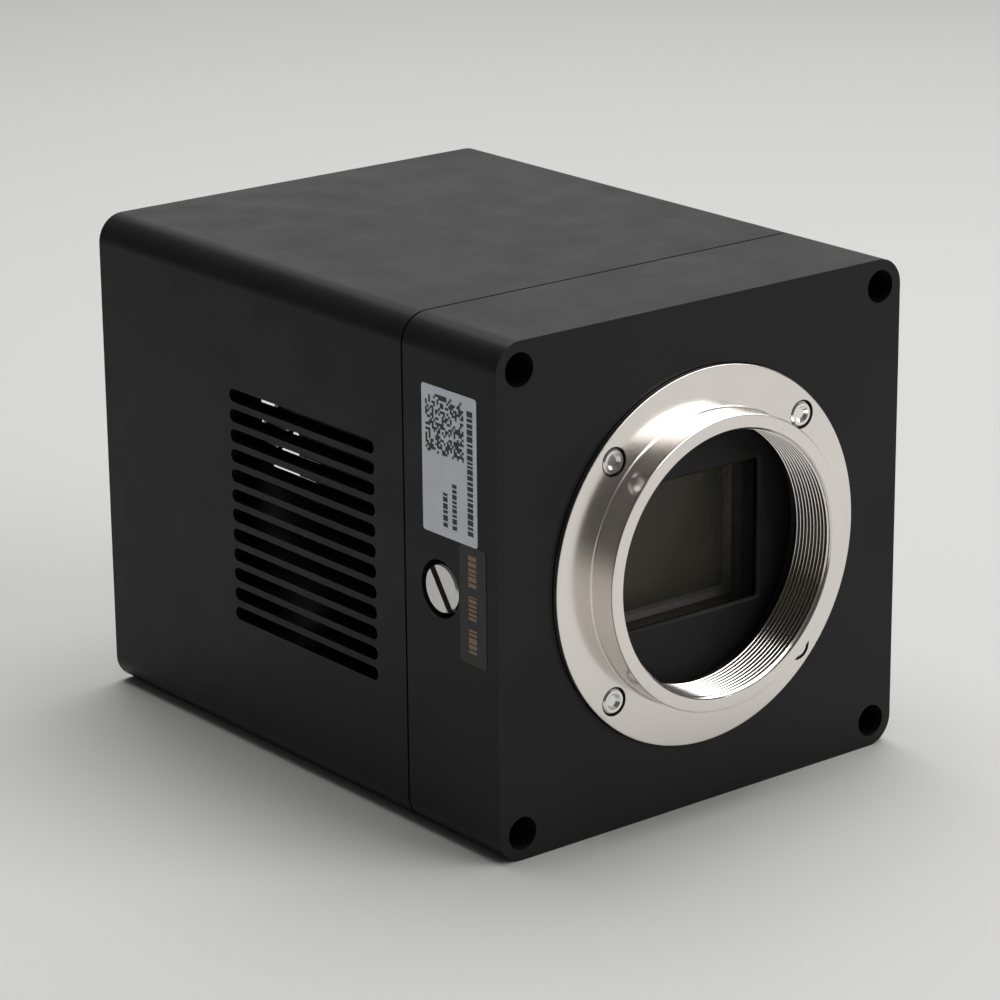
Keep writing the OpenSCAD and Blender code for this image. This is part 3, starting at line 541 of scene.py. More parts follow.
def turned(name, colour, centre=(0.0, 0.0), along="Y", line=0.05 * MM, roughness=(0.20, 0.23)):
    """Metal turned on a lathe, with fine rings round an axis along X or Y."""
    finish = Finish(name, metallic=1.0, anisotropic=0.55)
    finish.tone(colour, 30 * MM, 0.02, roughness)
    across = "X" if along == "Y" else "Y"
    squares = []
    for name_of_axis, middle in zip((across, "Z"), centre):
        offset = finish.math("SUBTRACT", finish.axis(name_of_axis), middle)
        squares.append(finish.math("MULTIPLY", offset, offset))
    radius = finish.math("SQRT", finish.math("ADD", *squares))
    reach = finish.math("ADD", radius, finish.axis(along))
    rings = finish.nodes.new("ShaderNodeTexNoise")
    rings.noise_dimensions = "1D"
    rings.inputs["Detail"].default_value = 4.0
    rings.inputs["Scale"].default_value = 1.0
    finish.links.new(finish.math("MULTIPLY", reach, 1 / line), rings.inputs["W"])
    finish.bump(rings.outputs["Fac"], 0.8e-6)
    tangent = finish.nodes.new("ShaderNodeTangent")
    tangent.direction_type = "RADIAL"
    tangent.axis = along
    finish.link(tangent.outputs["Tangent"], "Tangent")
    return finish.material


def satin(name, colour):
    """Cut metal with a smooth sheen."""
    return plain(name, colour, 12 * MM, 0.03, (0.13, 0.17), 3 * MM, 0.4e-6, metallic=1.0)


def brushed(name, colour, stretch=(1, 12, 1), roughness=(0.24, 0.36)):
    """Metal with fine straight lines along the axis that is stretched least."""
    finish = Finish(name, metallic=1.0)
    finish.tone(colour, 5 * MM, 0.06, roughness)
    finish.bump(finish.noise(0.08 * MM, stretch, detail=5.0), 2.5e-6)
    return finish.material


def black_oxide(name, colour):
    """Steel with a thin black oxide layer that shows metal where it is worn."""
    finish = Finish(name, metallic=0.7)
    base = finish.tone(colour, 1.5 * MM, 0.3, (0.28, 0.42))
    worn = finish.ramp(finish.noise(0.5 * MM, detail=6.0), 0.62, 0.75)
    finish.link(finish.blend(worn, base, (0.22, 0.21, 0.2)), "Base Color")
    finish.bump(finish.noise(0.12 * MM), 4e-6)
    return finish.material


def moulded(name, colour, roughness=(0.42, 0.55), specular=0.5):
    """Moulded plastic with a fine spark-eroded grain."""
    values = {"detail": 4.0, "specular_ior_level": specular}
    return plain(name, colour, 4 * MM, 0.12, roughness, 0.12 * MM, 5e-6, **values)


def rubbery(name, colour):
    """Matt rubber with a faint bloom."""
    values = {"detail": 5.0, "specular_ior_level": 0.35, "sheen_weight": 0.15}
    return plain(name, colour, 1.2 * MM, 0.3, (0.6, 0.8), 0.05 * MM, 6e-6, **values)


def foam(name, colour):
    """Closed-cell foam."""
    finish = Finish(name, sheen_weight=0.2)
    finish.tone(colour, 2 * MM, 0.25, (0.8, 0.95))
    finish.bump(finish.cells(0.45 * MM), 1.2e-4)
    return finish.material


def ceramic(name, colour, grain=0.05 * MM):
    """Fired alumina or pressed powder."""
    values = {"detail": 6.0, "specular_ior_level": 0.45}
    return plain(name, colour, 2.5 * MM, 0.08, (0.45, 0.65), grain, 6e-6, **values)


def coated_glass(name, colour, cover):
    """Optical glass with a coating: nearly clear, with a faint tinted gloss."""
    values = {"ior": 1.5, "specular_ior_level": 0.3, "alpha": cover}
    return plain(name, colour, 12 * MM, 0.12, (0.015, 0.04), 3 * MM, 2e-7, **values)


def circuit_board(name, mask):
    """Green solder mask over copper tracks, with small tinned pads."""
    finish = Finish(name, coat_weight=0.6, coat_roughness=0.12)
    grid = finish.texture("Voronoi", 1.7 * MM)
    grid.distance = "CHEBYCHEV"
    grid.feature = "F2"
    tracks = finish.ramp(grid.outputs["Distance"], 0.52, 0.56)
    green = finish.blend(tracks, mask, scaled(mask, 1.9))
    pads = finish.ramp(finish.cells(1.1 * MM), 0.16, 0.13)
    few = finish.ramp(finish.noise(4 * MM), 0.5, 0.56)
    pad = finish.math("MULTIPLY", pads, few)
    finish.link(finish.blend(pad, green, (0.62, 0.6, 0.5)), "Base Color")
    finish.rough(2 * MM, (0.28, 0.42))
    finish.bump(tracks, 1.6e-5)
    finish.bump(pad, 2e-5)
    return finish.material


def film(name, colour, roughness=(0.3, 0.42)):
    """Printed plastic film, slightly uneven where it is stuck down."""
    finish = Finish(name, specular_ior_level=0.42)
    finish.tone(colour, 5 * MM, 0.04, roughness)
    finish.bump(finish.noise(4 * MM), 8e-6)
    finish.bump(finish.noise(0.15 * MM), 1e-6)
    return finish.material


def winding(name, colour):
    """Enamelled copper wire in close turns."""
    finish = Finish(name, metallic=0.9, coat_weight=0.5, coat_roughness=0.1)
    finish.tone(colour, 1 * MM, 0.2, (0.2, 0.3))
    turns = finish.texture("Wave", 0.9 * MM)
    turns.bands_direction = "Y"
    finish.bump(turns.outputs["Fac"], 8e-5)
    return finish.material


def silicon(name, colour, node):
    """Sensor surface: a lighter active area inside a dark border, with a fine row pattern."""
    low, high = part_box(node)
    centre = (low + high) / 2
    half_width = (high.x - low.x) * 0.44
    half_height = (high.z - low.z) * 0.43
    finish = Finish(name, specular_ior_level=0.3, coat_weight=0.08)
    base = finish.tone(colour, 7 * MM, 0.12, (0.2, 0.28))
    within = []
    for axis, middle, half in (("X", centre.x, half_width), ("Z", centre.z, half_height)):
        offset = finish.math("ABSOLUTE", finish.math("SUBTRACT", finish.axis(axis), middle))
        within.append(finish.math("LESS_THAN", offset, half))
    active = finish.math("MULTIPLY", *within)
    finish.link(finish.blend(active, scaled(colour, 0.85), base), "Base Color")
    finish.bump(finish.noise(0.02 * MM, (1, 1, 30), detail=2.0), 8e-7)
    return finish.material


def indicator(name, colour):
    """Frosted light pipe with a weak glow."""
    values = {"transmission_weight": 0.3, "emission_color": colour, "emission_strength": 0.25}
    return plain(name, colour, 1 * MM, 0.1, (0.25, 0.4), 0.1 * MM, 3e-6, **values)


# ---- casing ----


class ASTRO_OT_front_casing(Operator):
    """Front housing, machined from solid and anodised black"""

    bl_idname = "astro.front_casing"
    bl_label = "Front housing"

    def execute(self, context):
        crisp("front_housing", settings("casing").edge, anodised("anodised_front"))
        return {"FINISHED"}


class ASTRO_OT_rear_casing(Operator):
    """Rear housing with its vent slots, anodised black"""

    bl_idname = "astro.rear_casing"
    bl_label = "Rear housing"

    def execute(self, context):
        crisp("rear_housing", settings("casing").slot_edge, anodised("anodised_rear"))
        crisp("tripod_insert", 0.05 * MM, brushed("insert_metal", (0.62, 0.60, 0.57)))
        return {"FINISHED"}


class ASTRO_OT_rear_panel(Operator):
    """Rear panel and its four screws"""

    bl_idname = "astro.rear_panel"
    bl_label = "Rear panel"

    def execute(self, context):
        crisp("rear_panel", settings("casing").slot_edge, anodised("anodised_panel"))
        screws = black_oxide("panel_screw_oxide", (0.03, 0.03, 0.032))
        crisp("rear_panel_screws", 0.06 * MM, screws)
        return {"FINISHED"}


class ASTRO_OT_seals(Operator):
    """Gasket in the seam, and the seals of the sensor chamber"""

    bl_idname = "astro.seals"
    bl_label = "Seals"

    def execute(self, context):
        paint(rubbery("gasket_black", (0.012, 0.012, 0.012)), "seam_gasket")
        paint(rubbery("seal_black", (0.016, 0.016, 0.017)), "window_seal", "chamber_seal")
        return {"FINISHED"}


class ASTRO_OT_corner_screws(Operator):
    """Cap screws deep in the four corners of the front housing"""

    bl_idname = "astro.corner_screws"
    bl_label = "Corner screws"

    def execute(self, context):
        crisp("corner_screws", 0.06 * MM, black_oxide("corner_screw_oxide", (0.02, 0.02, 0.022)))
        return {"FINISHED"}


# ---- lens mount ----


def threaded_bore(mesh, crest, length, mount):
    """Adds a threaded bore whose rows follow the helix, and returns its two end radii."""
    rows_per_pitch = 8
    lead_in = crest + mount.depth + 0.12 * MM
    relief = length - 0.45 * MM
    root = crest + mount.depth
    # Shares of the pitch: where the groove starts and ends, and how wide a flank is.
    start, end, flank = 0.25, 0.875, 0.25

    def place(row, column):
        share = column / mount.segments
        y = min(max((row / rows_per_pitch + share) * mount.pitch, 0.0), length)
        phase = row / rows_per_pitch % 1
        rise = min(max((phase - start) / flank, 0.0), 1.0)
        fall = min(max((end - phase) / flank, 0.0), 1.0)
        radius = max(crest + mount.depth * min(rise, fall), lead_in - y)
        if y > relief:
            radius = root
        turn = 2 * math.pi * share
        return (radius * math.cos(turn), y, radius * math.sin(turn))

    pitches = math.ceil(length / mount.pitch) + 1
    rows = range(-rows_per_pitch, rows_per_pitch * pitches)
    grid = {
        (row, column): mesh.verts.new(place(row, column))
        for row in rows
        for column in range(mount.segments)
    }
    for row in rows:
        for column in range(mount.segments):
            last = column == mount.segments - 1
            # Past the last column the helix goes on one pitch further in.
            ahead, rise = (0, rows_per_pitch) if last else (column + 1, 0)
            corners = [(row, column), (row + 1, column)]
            corners += [(row + 1 + rise, ahead), (row + rise, ahead)]
            if all(corner in grid for corner in corners):
                mesh.faces.new([grid[corner] for corner in corners])
    return lead_in, root


def countersink(centre, radius, shank, face, depth):
    """A tool that cuts a screw hole along Y: a straight wall, a cone and a shank hole."""
    mesh = bmesh.new()
    front, ledge, end = face - 1 * MM, face + 1.2 * MM, face + depth
    profile = [(0.0, front), (radius, front), (radius, ledge)]
    profile += [(shank, ledge + radius - shank), (shank, end), (0.0, end)]
    lathe(mesh, profile, 40, (centre.x, centre.z))
    return new_object("countersink", mesh)


def socket_screws(name, places, head, shank, hexagon):
    """Screws along Y, each with a chamfered head and a hexagonal socket with a lead-in."""
    edge, wall, depth = 0.25 * MM, 1.1 * MM, 1.2 * MM
    corner = hexagon / math.cos(math.pi / 6)
    reach = corner + 0.12 * MM
    solid, tool = bmesh.new(), bmesh.new()
    for centre, face, end in places:
        axis, ledge = (centre.x, centre.z), face + wall
        body = [(0.0, face), (head - edge, face), (head, face + edge), (head, ledge)]
        body += [(shank, ledge + head - shank), (shank, end), (0.0, end)]
        lathe(solid, body, 48, axis)
        front, floor, lead = face - edge, face + depth, face + 2 * edge
        socket = [(0.0, front), (corner, front), (corner, floor), (0.0, floor)]
        lathe(tool, socket, 6, axis)
        cone = [(0.0, front), (reach + edge, front), (reach - 2 * edge, lead), (0.0, lead)]
        lathe(tool, cone, 48, axis)
    piece = new_object(name, solid)
    cut(piece, [new_object("sockets", tool)])
    shade(piece, 25)
    return piece


class ASTRO_OT_lens_mount(Operator):
    """Turned ring with the lens thread, and the shim behind it"""

    bl_idname = "astro.lens_mount"
    bl_label = "Lens mount"

    def execute(self, context):
        mount = settings("mount")
        thread = [m for m in frame["record"]["mounts"] if m["name"] == "lens_thread"][0]
        screws = solids_of("mount_ring_screws")
        face = min(corner[0].y for corner in screws)
        ring, lead_in = self.turned_ring(mount, thread["dims"]["r_mm"] * MM, face)
        tools, places = [], []
        for low, high in screws:
            centre = (low + high) / 2
            head = (high.x - low.x) / 2
            tools.append(countersink(centre, head, head * 0.6, face, 6 * MM))
            places.append((centre, low.y, high.y))
        cut(ring, tools)
        shade(ring, 25)
        dress(ring, turned("ring_metal", mount.colour), "camera", "turned_ring", "mount_ring")
        ring.data.materials.append(satin("thread_metal", mount.colour))
        for polygon in ring.data.polygons:
            if math.hypot(polygon.center.x, polygon.center.z) < lead_in - 0.02 * MM:
                polygon.material_index = 1
        crisp("mount_shim", 0.0, brushed("shim_metal", (0.60, 0.47, 0.25)))
        steel = brushed("mount_screw_steel", (0.84, 0.82, 0.79), (1, 1, 1), (0.16, 0.2))
        heads = socket_screws(
            "mount_ring_screws_finished", places, head - mount.screw_gap, head * 0.5, 1.0 * MM
        )
        dress(heads, steel, "camera", slot_of("mount_ring_screws"), "mount_ring_screws")
        return {"FINISHED"}

    def turned_ring(self, mount, crest, face):
        """The threaded ring, whose flange has its front at face, and its lead-in radius."""
        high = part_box("mount_ring")[1]
        flange, length = high.x, high.y
        edge, collar = mount.chamfer, mount.collar_radius
        fillet, bend = 0.25 * MM, 0.08 * MM
        mesh = bmesh.new()
        lead_in, root = threaded_bore(mesh, crest, length, mount)
        profile = [
            (lead_in, 0.0),
            *round_off(collar, 0.0, edge),
            (collar, face - fillet),
            (collar + bend, face - bend),
            (collar + fillet, face),
            *round_off(flange, face, edge),
            (flange, length),
            (root, length),
        ]
        lathe(mesh, profile, mount.segments, closed=False)
        bmesh.ops.remove_doubles(mesh, verts=mesh.verts, dist=2e-7)
        bmesh.ops.dissolve_degenerate(mesh, edges=mesh.edges, dist=1e-8)
        return new_object("mount_ring_turned", mesh), lead_in


# ---- window and sensor ----


class ASTRO_OT_window(Operator):
    """Chamber window, and the plate that holds it"""

    bl_idname = "astro.window"
    bl_label = "Chamber window"

    def execute(self, context):
        black = settings("casing").colour
        plate = moulded("retainer_black", black, (0.5, 0.6), specular=0.2)
        crisp("window_retainer", 0.4 * MM, plate, steps=1)
        glass = coated_glass("window_coating", (0.035, 0.045, 0.04), 0.10)
        crisp("chamber_window", 0.15 * MM, glass, steps=1)
        return {"FINISHED"}


class ASTRO_OT_sensor(Operator):
    """Image sensor in its carrier, with its cover glass and baffle"""

    bl_idname = "astro.sensor"
    bl_label = "Image sensor"

    def execute(self, context):
        sensor = settings("sensor")
        crisp("sensor_package", 0.08 * MM, ceramic("carrier_rim", sensor.rim_colour))
        crisp("sensor_die", 0.03 * MM, silicon("sensor_surface", sensor.die_colour, "sensor_die"))
        glass = coated_glass("cover_coating", (0.05, 0.05, 0.045), 0.14)
        crisp("sensor_cover_glass", 0.1 * MM, glass, steps=1)
        baffle = moulded("baffle_matt", (0.050, 0.034, 0.024), (0.5, 0.65), specular=0.25)
        crisp("sensor_baffle", 0.1 * MM, baffle)
        return {"FINISHED"}


class ASTRO_OT_sensor_board(Operator):
    """Sensor board with its posts, screws, connector and flat cable"""

    bl_idname = "astro.sensor_board"
    bl_label = "Sensor board"

    def execute(self, context):
        crisp("sensor_board", 0.05 * MM, circuit_board("sensor_mask", (0.01, 0.075, 0.03)))
        crisp("sensor_posts", 0.1 * MM, moulded("post_nylon", (0.72, 0.71, 0.66), (0.4, 0.5)))
        crisp("sensor_board_screws", 0.05 * MM, brushed("board_screw_steel", (0.7, 0.69, 0.67)))
        crisp("sensor_connector", 0.08 * MM, moulded("connector_black", (0.03, 0.03, 0.03)))
        crisp("flex_cable", 0.03 * MM, film("ribbon_amber", (0.42, 0.2, 0.045)))
        return {"FINISHED"}


# ---- side of the front housing ----


class ASTRO_OT_port_plug(Operator):
    """Desiccant port plug with its seal, and the tablets behind it"""

    bl_idname = "astro.port_plug"
    bl_label = "Desiccant port"

    def execute(self, context):
        label = settings("label")
        low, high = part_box("chamber_plug")
        centre = (high.y + low.y) / 2, (high.z + low.z) / 2
        steel = turned("plug_metal", (0.62, 0.60, 0.575), centre, "X", 0.06 * MM, (0.16, 0.2))
        plug = crisp("chamber_plug", 0.1 * MM, steel, steps=3, degrees=25)
        # The slot's walls and floor get a second, darker brushed metal: painted shade for the
        # shade that falls inside the slot.
        plug.data.materials.append(brushed("plug_slot_painted_shade", (0.30, 0.27, 0.24)))
        below_front = low.x + 0.25 * MM
        for polygon in plug.data.polygons:
            reach = math.hypot(polygon.center.y - centre[0], polygon.center.z - centre[1])
            if reach < label.plug_rim and polygon.center.x > below_front:
                polygon.material_index = 1
        paint(rubbery("plug_seal_black", (0.016, 0.016, 0.017)), "plug_seal")
        clay = ceramic("tablet_chalk", (0.68, 0.66, 0.6), 0.2 * MM)
        crisp("desiccant_tablets", 0.25 * MM, clay, steps=3)
        return {"FINISHED"}


def film_sheet(node, paper, slot, radius=0.5 * MM, steps=6):
    """Makes a film with round corners in place of a CAD film on the camera's side.

    Returns the film's low corner and its size, whose x runs in to the face for marks.
    """
    low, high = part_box(node)
    mesh = bmesh.new()
    outline = []
    left, right, bottom, top = low.y + radius, high.y - radius, low.z + radius, high.z - radius
    corners = ((right, top), (left, top), (left, bottom), (right, bottom))
    for quarter, (y, z) in enumerate(corners):
        for step in range(steps + 1):
            turn = math.pi / 2 * (quarter + step / steps)
            outline.append((y + radius * math.cos(turn), z + radius * math.sin(turn)))
    face = high.x - FILM_THICKNESS
    front = [mesh.verts.new((face, y, z)) for y, z in outline]
    back = [mesh.verts.new((high.x, y, z)) for y, z in outline]
    mesh.faces.new(front)
    mesh.faces.new(back)
    join_rows(mesh, front + front[:1], back + back[:1])
    dress(new_object(node + "_film", mesh), paper, "camera", slot, node)
    return low, Vector((face, high.y, high.z)) - low


def mark(mesh, face, low, high):
    """Adds a thin printed patch to a film's face, between two (y, z) corners."""
    box_mesh(mesh, (face - MARK_THICKNESS, *low), (face, *high))


def bars(mesh, low, size, rows, draw):
    """Adds rows of short bars up a film.

    A row's left side, width, lower end and upper end are shares of the film's size.
    """
    face = low.x + size.x
    for left, width, bottom, top in rows:
        y, z = low.y + left * size.y, low.z + bottom * size.z
        while z < low.z + top * size.z:
            end = min(z + draw.uniform(0.35, 0.9) * MM, low.z + top * size.z)
            mark(mesh, face, (y, z), (y + width * size.y, end))
            z = end + draw.uniform(0.18, 0.3) * MM


class ASTRO_OT_code_label(Operator):
    """Pale label with a generic block of random cells and plain bars"""

    bl_idname = "astro.code_label"
    bl_label = "Pale label"

    def execute(self, context):
        label = settings("label")
        low, size = film_sheet("code_label", film("label_paper", label.paper), "label_film")
        face = low.x + size.x
        draw = random.Random(label.seed)
        mesh = bmesh.new()
        block, left, top = 0.70, 0.23, 0.95  # the block's width and place, as shares
        cell = block * size.y / label.cells
        start_y = low.y + left * size.y
        start_z = low.z + top * size.z - label.cells * cell
        for row in range(label.cells):
            for column in range(label.cells):
                if draw.random() < 0.5:
                    y, z = start_y + column * cell, start_z + row * cell
                    mark(mesh, face, (y, z), (y + cell, z + cell))
        rows = ((0.07, 0.10, 0.07, 0.92), (0.37, 0.08, 0.07, 0.38), (0.54, 0.08, 0.07, 0.30))
        bars(mesh, low, size, rows, draw)
        marks = new_object("code_label_marks", mesh)
        dress(marks, film("label_ink", label.ink, (0.4, 0.5)), "camera", "label_film")
        return {"FINISHED"}


class ASTRO_OT_side_sticker(Operator):
    """Dark sticker with plain bronze bars"""

    bl_idname = "astro.side_sticker"
    bl_label = "Dark sticker"

    def execute(self, context):
        label = settings("label")
        brown = film("sticker_brown", (0.007, 0.0055, 0.0045), (0.38, 0.45))
        low, size = film_sheet("side_sticker", brown, "sticker_film")
        rows = ((0.36, 0.30, 0.66, 0.93), (0.36, 0.30, 0.38, 0.58), (0.36, 0.30, 0.10, 0.30))
        mesh = bmesh.new()
        bars(mesh, low, size, rows, random.Random(label.seed + 1))
        marks = new_object("side_sticker_marks", mesh)
        dress(marks, film("sticker_bronze", label.bronze), "camera", "sticker_film")
        return {"FINISHED"}


# ---- cooler and heat sink ----


class ASTRO_OT_cooler(Operator):
    """Thermoelectric cooler with its cold finger, pad, clamp screws and foam"""

    bl_idname = "astro.cooler"
    bl_label = "Cooler"

    def execute(self, context):
        crisp("thermal_pad", 0.05 * MM, rubbery("pad_grey", (0.32, 0.33, 0.35)))
        crisp("cold_finger", 0.2 * MM, brushed("cold_block_metal", (0.72, 0.73, 0.74)))
        crisp("clamp_screws", 0.06 * MM, brushed("clamp_steel", (0.68, 0.67, 0.66)))
        plate = ceramic("cooler_alumina", (0.78, 0.77, 0.74))
        crisp("cooler_cold_plate", 0.06 * MM, plate)
        crisp("cooler_hot_plate", 0.06 * MM, plate)
        crisp("cooler_pellets", 0.03 * MM, brushed("pellet_metal", (0.4, 0.39, 0.38)), steps=1)
        crisp("cold_insulation", 0.3 * MM, foam("insulation_black", (0.03, 0.03, 0.032)))
        return {"FINISHED"}


class ASTRO_OT_heat_sink(Operator):
    """Finned heat sink and its screws"""

    bl_idname = "astro.heat_sink"
    bl_label = "Heat sink"

    def execute(self, context):
        crisp("heat_sink", 0.12 * MM, anodised("anodised_sink"))
        crisp("heat_sink_screws", 0.06 * MM, brushed("sink_screw_steel", (0.66, 0.65, 0.64)))
        return {"FINISHED"}


# ---- electronics ----


class ASTRO_OT_main_board(Operator):
    """Main board with its standoffs and screws"""

    bl_idname = "astro.main_board"
    bl_label = "Main board"

    def execute(self, context):
        crisp("main_board", 0.05 * MM, circuit_board("board_mask", (0.01, 0.07, 0.028)))
        crisp("board_standoffs", 0.08 * MM, brushed("standoff_metal", (0.7, 0.55, 0.28)))
        crisp("board_screws", 0.05 * MM, brushed("small_screw_steel", (0.7, 0.69, 0.67)))
        return {"FINISHED"}


class ASTRO_OT_board_parts(Operator):
    """Chips, inductors, capacitors and the flat-cable connector on the main board"""

    bl_idname = "astro.board_parts"
    bl_label = "Board parts"

    def execute(self, context):
        crisp("board_chips", 0.1 * MM, moulded("chip_epoxy", (0.022, 0.022, 0.023)))
        crisp("power_inductors", 0.3 * MM, ceramic("inductor_powder", (0.09, 0.09, 0.095)))
        crisp("board_capacitors", 0.25 * MM, brushed("can_metal", (0.72, 0.72, 0.73)), steps=3)
        crisp("flex_connector", 0.08 * MM, moulded("socket_cream", (0.62, 0.58, 0.48)))
        return {"FINISHED"}


class ASTRO_OT_sockets(Operator):
    """Data, power and guide sockets, and the status light"""

    bl_idname = "astro.sockets"
    bl_label = "Sockets"

    def execute(self, context):
        shell = brushed("socket_shell_steel", (0.72, 0.71, 0.7))
        crisp("usb_shell", 0.08 * MM, shell)
        crisp("usb_tongue", 0.06 * MM, moulded("tongue_blue", (0.03, 0.09, 0.4)))
        crisp("power_jack", 0.15 * MM, moulded("jack_black", (0.02, 0.02, 0.021)))
        crisp("power_jack_pin", 0.15 * MM, brushed("jack_pin_nickel", (0.74, 0.72, 0.68)))
        crisp("guide_socket", 0.12 * MM, moulded("guide_black", (0.024, 0.024, 0.025)))
        crisp("guide_contacts", 0.03 * MM, brushed("contact_plating", (0.83, 0.62, 0.26)))
        crisp("status_light", 0.2 * MM, indicator("light_red", (0.75, 0.04, 0.03)), steps=3)
        return {"FINISHED"}


# ---- fan ----


def fan_blade(mesh, fan, tip, low, high, turn):
    """Adds one twisted, curved fan blade about the fan's axis."""
    stations, across = 8, 9  # steps from hub to tip, and from front to back
    root = fan.hub_radius - 0.4 * MM
    reach = 0.44 * (high - low)
    middle_y = (low + high) / 2
    sides = []
    for side in (-0.5, 0.5):
        surface = []
        for station in range(stations + 1):
            share = station / stations
            radius = root + (tip - root) * share
            pitch = fan.blade_pitch * (0.80 + 0.35 * share)
            sweep = 0.30 * share * share
            line = []
            for step in range(across + 1):
                along = 2 * step / across - 1
                taper = max(1 - 0.75 * along * along, 0.3)
                thick = fan.blade_thickness * side * taper
                y = middle_y + reach * along - thick * math.sin(pitch)
                bow = 0.35 * reach * (1 - along * along)
                arc = reach * along * math.tan(pitch) + bow + thick * math.cos(pitch)
                around = turn + sweep + arc / radius
                x = FAN_AXIS[0] + radius * math.cos(around)
                z = FAN_AXIS[2] + radius * math.sin(around)
                line.append(mesh.verts.new((x, y, z)))
            surface.append(line)
        sides.append(surface)
    first, second = sides
    for surface in sides:
        for row, following in zip(surface, surface[1:]):
            join_rows(mesh, row, following)
    for edge in (0, across):
        join_rows(mesh, [line[edge] for line in first], [line[edge] for line in second])
    for end in (0, stations):
        join_rows(mesh, first[end], second[end])


def radius_of(node):
    """Half the width of a round CAD node."""
    low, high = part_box(node)
    return (high.x - low.x) / 2


class ASTRO_OT_fan_rotor(Operator):
    """Fan rotor with curved blades, its magnet and its shaft"""

    bl_idname = "astro.fan_rotor"
    bl_label = "Fan rotor"

    def execute(self, context):
        fan = settings("fan")
        low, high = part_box("fan_rotor")
        magnet_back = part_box("fan_magnet")[0].y
        hub, inside, bore = fan.hub_radius, radius_of("fan_magnet"), radius_of("fan_shaft")
        tip = radius_of("fan_rotor") - 0.1 * MM
        edge, dimple = 0.8 * MM, 0.3 * MM
        mesh = bmesh.new()
        profile = [
            (bore, low.y + dimple),
            (0.0, low.y + dimple),
            (0.0, low.y),
            *round_off(hub, low.y, edge, 0.29),
            (hub, high.y),
            (inside, high.y),
            (inside, magnet_back),
            (bore, magnet_back),
        ]
        lathe(mesh, profile, 64, (FAN_AXIS[0], FAN_AXIS[2]))
        for blade in range(fan.blades):
            # The first blade points up, as in the CAD.
            turn = math.pi / 2 + 2 * math.pi * blade / fan.blades
            fan_blade(mesh, fan, tip, low.y, high.y, turn)
        rotor = new_object("fan_rotor_moulded", mesh)
        shade(rotor, 40)
        plastic = moulded("rotor_black", (0.018, 0.018, 0.019), (0.3, 0.4))
        dress(rotor, plastic, body_of("fan_rotor"), "rotor_plastic", "fan_rotor")
        crisp("fan_magnet", 0.1 * MM, ceramic("magnet_grey", (0.1, 0.1, 0.105)))
        crisp("fan_shaft", 0.1 * MM, brushed("shaft_metal", (0.78, 0.78, 0.78)))
        return {"FINISHED"}


class ASTRO_OT_fan_frame(Operator):
    """Fan frame with its bearing and windings"""

    bl_idname = "astro.fan_frame"
    bl_label = "Fan frame"

    def execute(self, context):
        crisp("fan_frame", 0.2 * MM, moulded("frame_plastic", (0.02, 0.02, 0.021)))
        crisp("fan_bearing", 0.1 * MM, brushed("bearing_metal", (0.55, 0.37, 0.2)))
        crisp("fan_stator", 0.1 * MM, winding("stator_copper", (0.6, 0.24, 0.09)))
        return {"FINISHED"}


class ASTRO_OT_fan_guard(Operator):
    """Pressed finger guard over the fan, and its screws"""

    bl_idname = "astro.fan_guard"
    bl_label = "Fan guard"

    def execute(self, context):
        wire = brushed("guard_nickel", (0.7, 0.7, 0.7), (1, 1, 1), (0.2, 0.3))
        crisp("fan_guard", 0.28 * MM, wire, steps=3)
        crisp("fan_screws", 0.08 * MM, black_oxide("fan_screw_oxide", (0.03, 0.03, 0.032)))
        return {"FINISHED"}


# ---- stage ----


# Name, place, width and height, and power of each light.
LIGHTS = (
    ("light_top", (0.15, 0.2, 0.8), (0.8, 0.8), 9.0),
    ("light_back", (0.6, 0.8, 0.36), (0.8, 0.5), 0.8),
    ("light_front", (0.5, -0.78, 0.5), (0.85, 0.7), 6.5),
)
LIT_POINT = Vector((0.0, 0.04, 0.0))


def soft_light(name, place, size, power):
    """Adds a rectangular soft light at place, turned to the camera body."""
    data = bpy.data.lights.new(name, "AREA")
    data.shape = "RECTANGLE"
    data.size, data.size_y = size
    data.energy = power
    lamp = bpy.data.objects.new(name, data)
    bpy.context.scene.collection.objects.link(lamp)
    lamp.location = place
    lamp.rotation_euler = (LIT_POINT - Vector(place)).to_track_quat("-Z", "Y").to_euler()


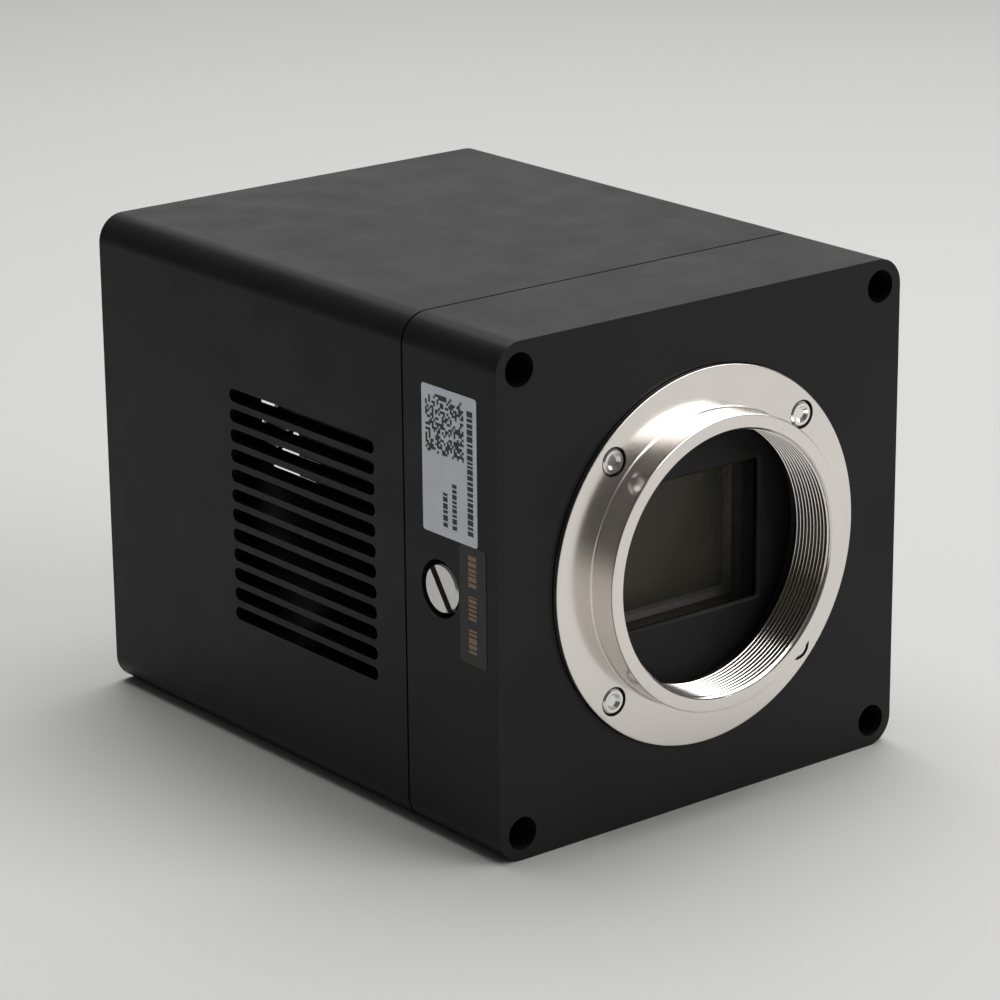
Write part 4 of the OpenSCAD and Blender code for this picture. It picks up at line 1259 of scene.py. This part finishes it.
class ASTRO_OT_stage(Operator):
    """Pale floor, soft studio light and the viewpoint"""

    bl_idname = "astro.stage"
    bl_label = "Stage"

    def execute(self, context):
        stage = settings("stage")
        self.floor(stage)
        self.lights()
        self.viewpoint(stage)
        return {"FINISHED"}

    def floor(self, stage):
        """A wide pale floor that the camera body stands on."""
        mesh = bmesh.new()
        reach = 4.0
        bmesh.ops.create_grid(mesh, x_segments=1, y_segments=1, size=reach)
        floor = new_object("floor", mesh)
        floor.location = (0, 0, CAD_BOX[0][2])
        finish = Finish("floor_paper", specular_ior_level=0.2)
        finish.tone(stage.floor_colour, 0.5, 0.02, (0.75, 0.85))
        finish.bump(finish.noise(0.4 * MM), 1e-5)
        floor.data.materials.append(finish.material)

    def lights(self):
        """Large soft lights above, behind and in front, and an even surround."""
        for light in LIGHTS:
            soft_light(*light)
        world = bpy.data.worlds.new("surround")
        bpy.context.scene.world = world
        world.use_nodes = True
        sky = world.node_tree.nodes["Background"]
        sky.inputs["Color"].default_value = (0.93, 0.93, 0.93, 1.0)
        sky.inputs["Strength"].default_value = 0.10

    def viewpoint(self, stage):
        """The camera that looks at the middle of the body."""
        middle = 48 * MM  # from the front of the housing to the point looked at
        target = Vector((0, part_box("front_housing")[0].y + middle, 0))
        level, rise = math.cos(stage.elevation), math.sin(stage.elevation)
        back = Vector((math.sin(stage.azimuth) * level, -math.cos(stage.azimuth) * level, rise))
        level_right = (-back).cross(Vector((0, 0, 1))).normalized()
        level_up = level_right.cross(-back)
        right = level_right * math.cos(stage.roll) + level_up * math.sin(stage.roll)
        up = level_up * math.cos(stage.roll) - level_right * math.sin(stage.roll)
        data = bpy.data.cameras.new("viewpoint")
        data.lens = stage.lens
        data.sensor_width = 36.0
        data.clip_start, data.clip_end = 0.01, 20.0
        camera = bpy.data.objects.new("viewpoint", data)
        bpy.context.scene.collection.objects.link(camera)
        turn = Matrix((right, up, back)).transposed().to_4x4()
        place = target + back * stage.distance + right * stage.offset_right + up * stage.offset_up
        camera.matrix_world = Matrix.Translation(place) @ turn
        bpy.context.scene.camera = camera
        bpy.context.scene.view_settings.view_transform = "Standard"


# ---- add-on ----


OPERATORS = (
    ASTRO_OT_front_casing,
    ASTRO_OT_rear_casing,
    ASTRO_OT_rear_panel,
    ASTRO_OT_seals,
    ASTRO_OT_corner_screws,
    ASTRO_OT_lens_mount,
    ASTRO_OT_window,
    ASTRO_OT_sensor,
    ASTRO_OT_sensor_board,
    ASTRO_OT_port_plug,
    ASTRO_OT_code_label,
    ASTRO_OT_side_sticker,
    ASTRO_OT_cooler,
    ASTRO_OT_heat_sink,
    ASTRO_OT_main_board,
    ASTRO_OT_board_parts,
    ASTRO_OT_sockets,
    ASTRO_OT_fan_rotor,
    ASTRO_OT_fan_frame,
    ASTRO_OT_fan_guard,
    ASTRO_OT_stage,
)

GROUPS = {
    "astro_casing": CasingSettings,
    "astro_mount": MountSettings,
    "astro_sensor": SensorSettings,
    "astro_label": LabelSettings,
    "astro_fan": FanSettings,
    "astro_stage": StageSettings,
}


class ASTRO_PT_pieces(Panel):
    """Lists the settings and the pieces of the astronomy camera"""

    bl_idname = "ASTRO_PT_pieces"
    bl_label = "Astronomy camera"
    bl_space_type = "VIEW_3D"
    bl_region_type = "UI"
    bl_category = "Camera"

    def draw(self, context):
        for name in GROUPS:
            group = getattr(context.scene, name)
            box = self.layout.box()
            for key in group.bl_rna.properties.keys():
                if key not in ("rna_type", "name"):
                    box.prop(group, key)
        column = self.layout.column(align=True)
        for operator in OPERATORS:
            column.operator(operator.bl_idname)


CLASSES = (*GROUPS.values(), *OPERATORS, ASTRO_PT_pieces)


def register():
    """Registers the classes and the settings."""
    for item in CLASSES:
        bpy.utils.register_class(item)
    for name, group in GROUPS.items():
        setattr(bpy.types.Scene, name, PointerProperty(type=group))


def unregister():
    """Removes the settings and the classes."""
    for name in GROUPS:
        delattr(bpy.types.Scene, name)
    for item in reversed(CLASSES):
        bpy.utils.unregister_class(item)


def main():
    """Makes every piece and the stage."""
    register()
    for operator in OPERATORS:
        group, name = operator.bl_idname.split(".")
        getattr(getattr(bpy.ops, group), name)()
    bpy.context.view_layer.update()


if __name__ == "__main__":
    main()
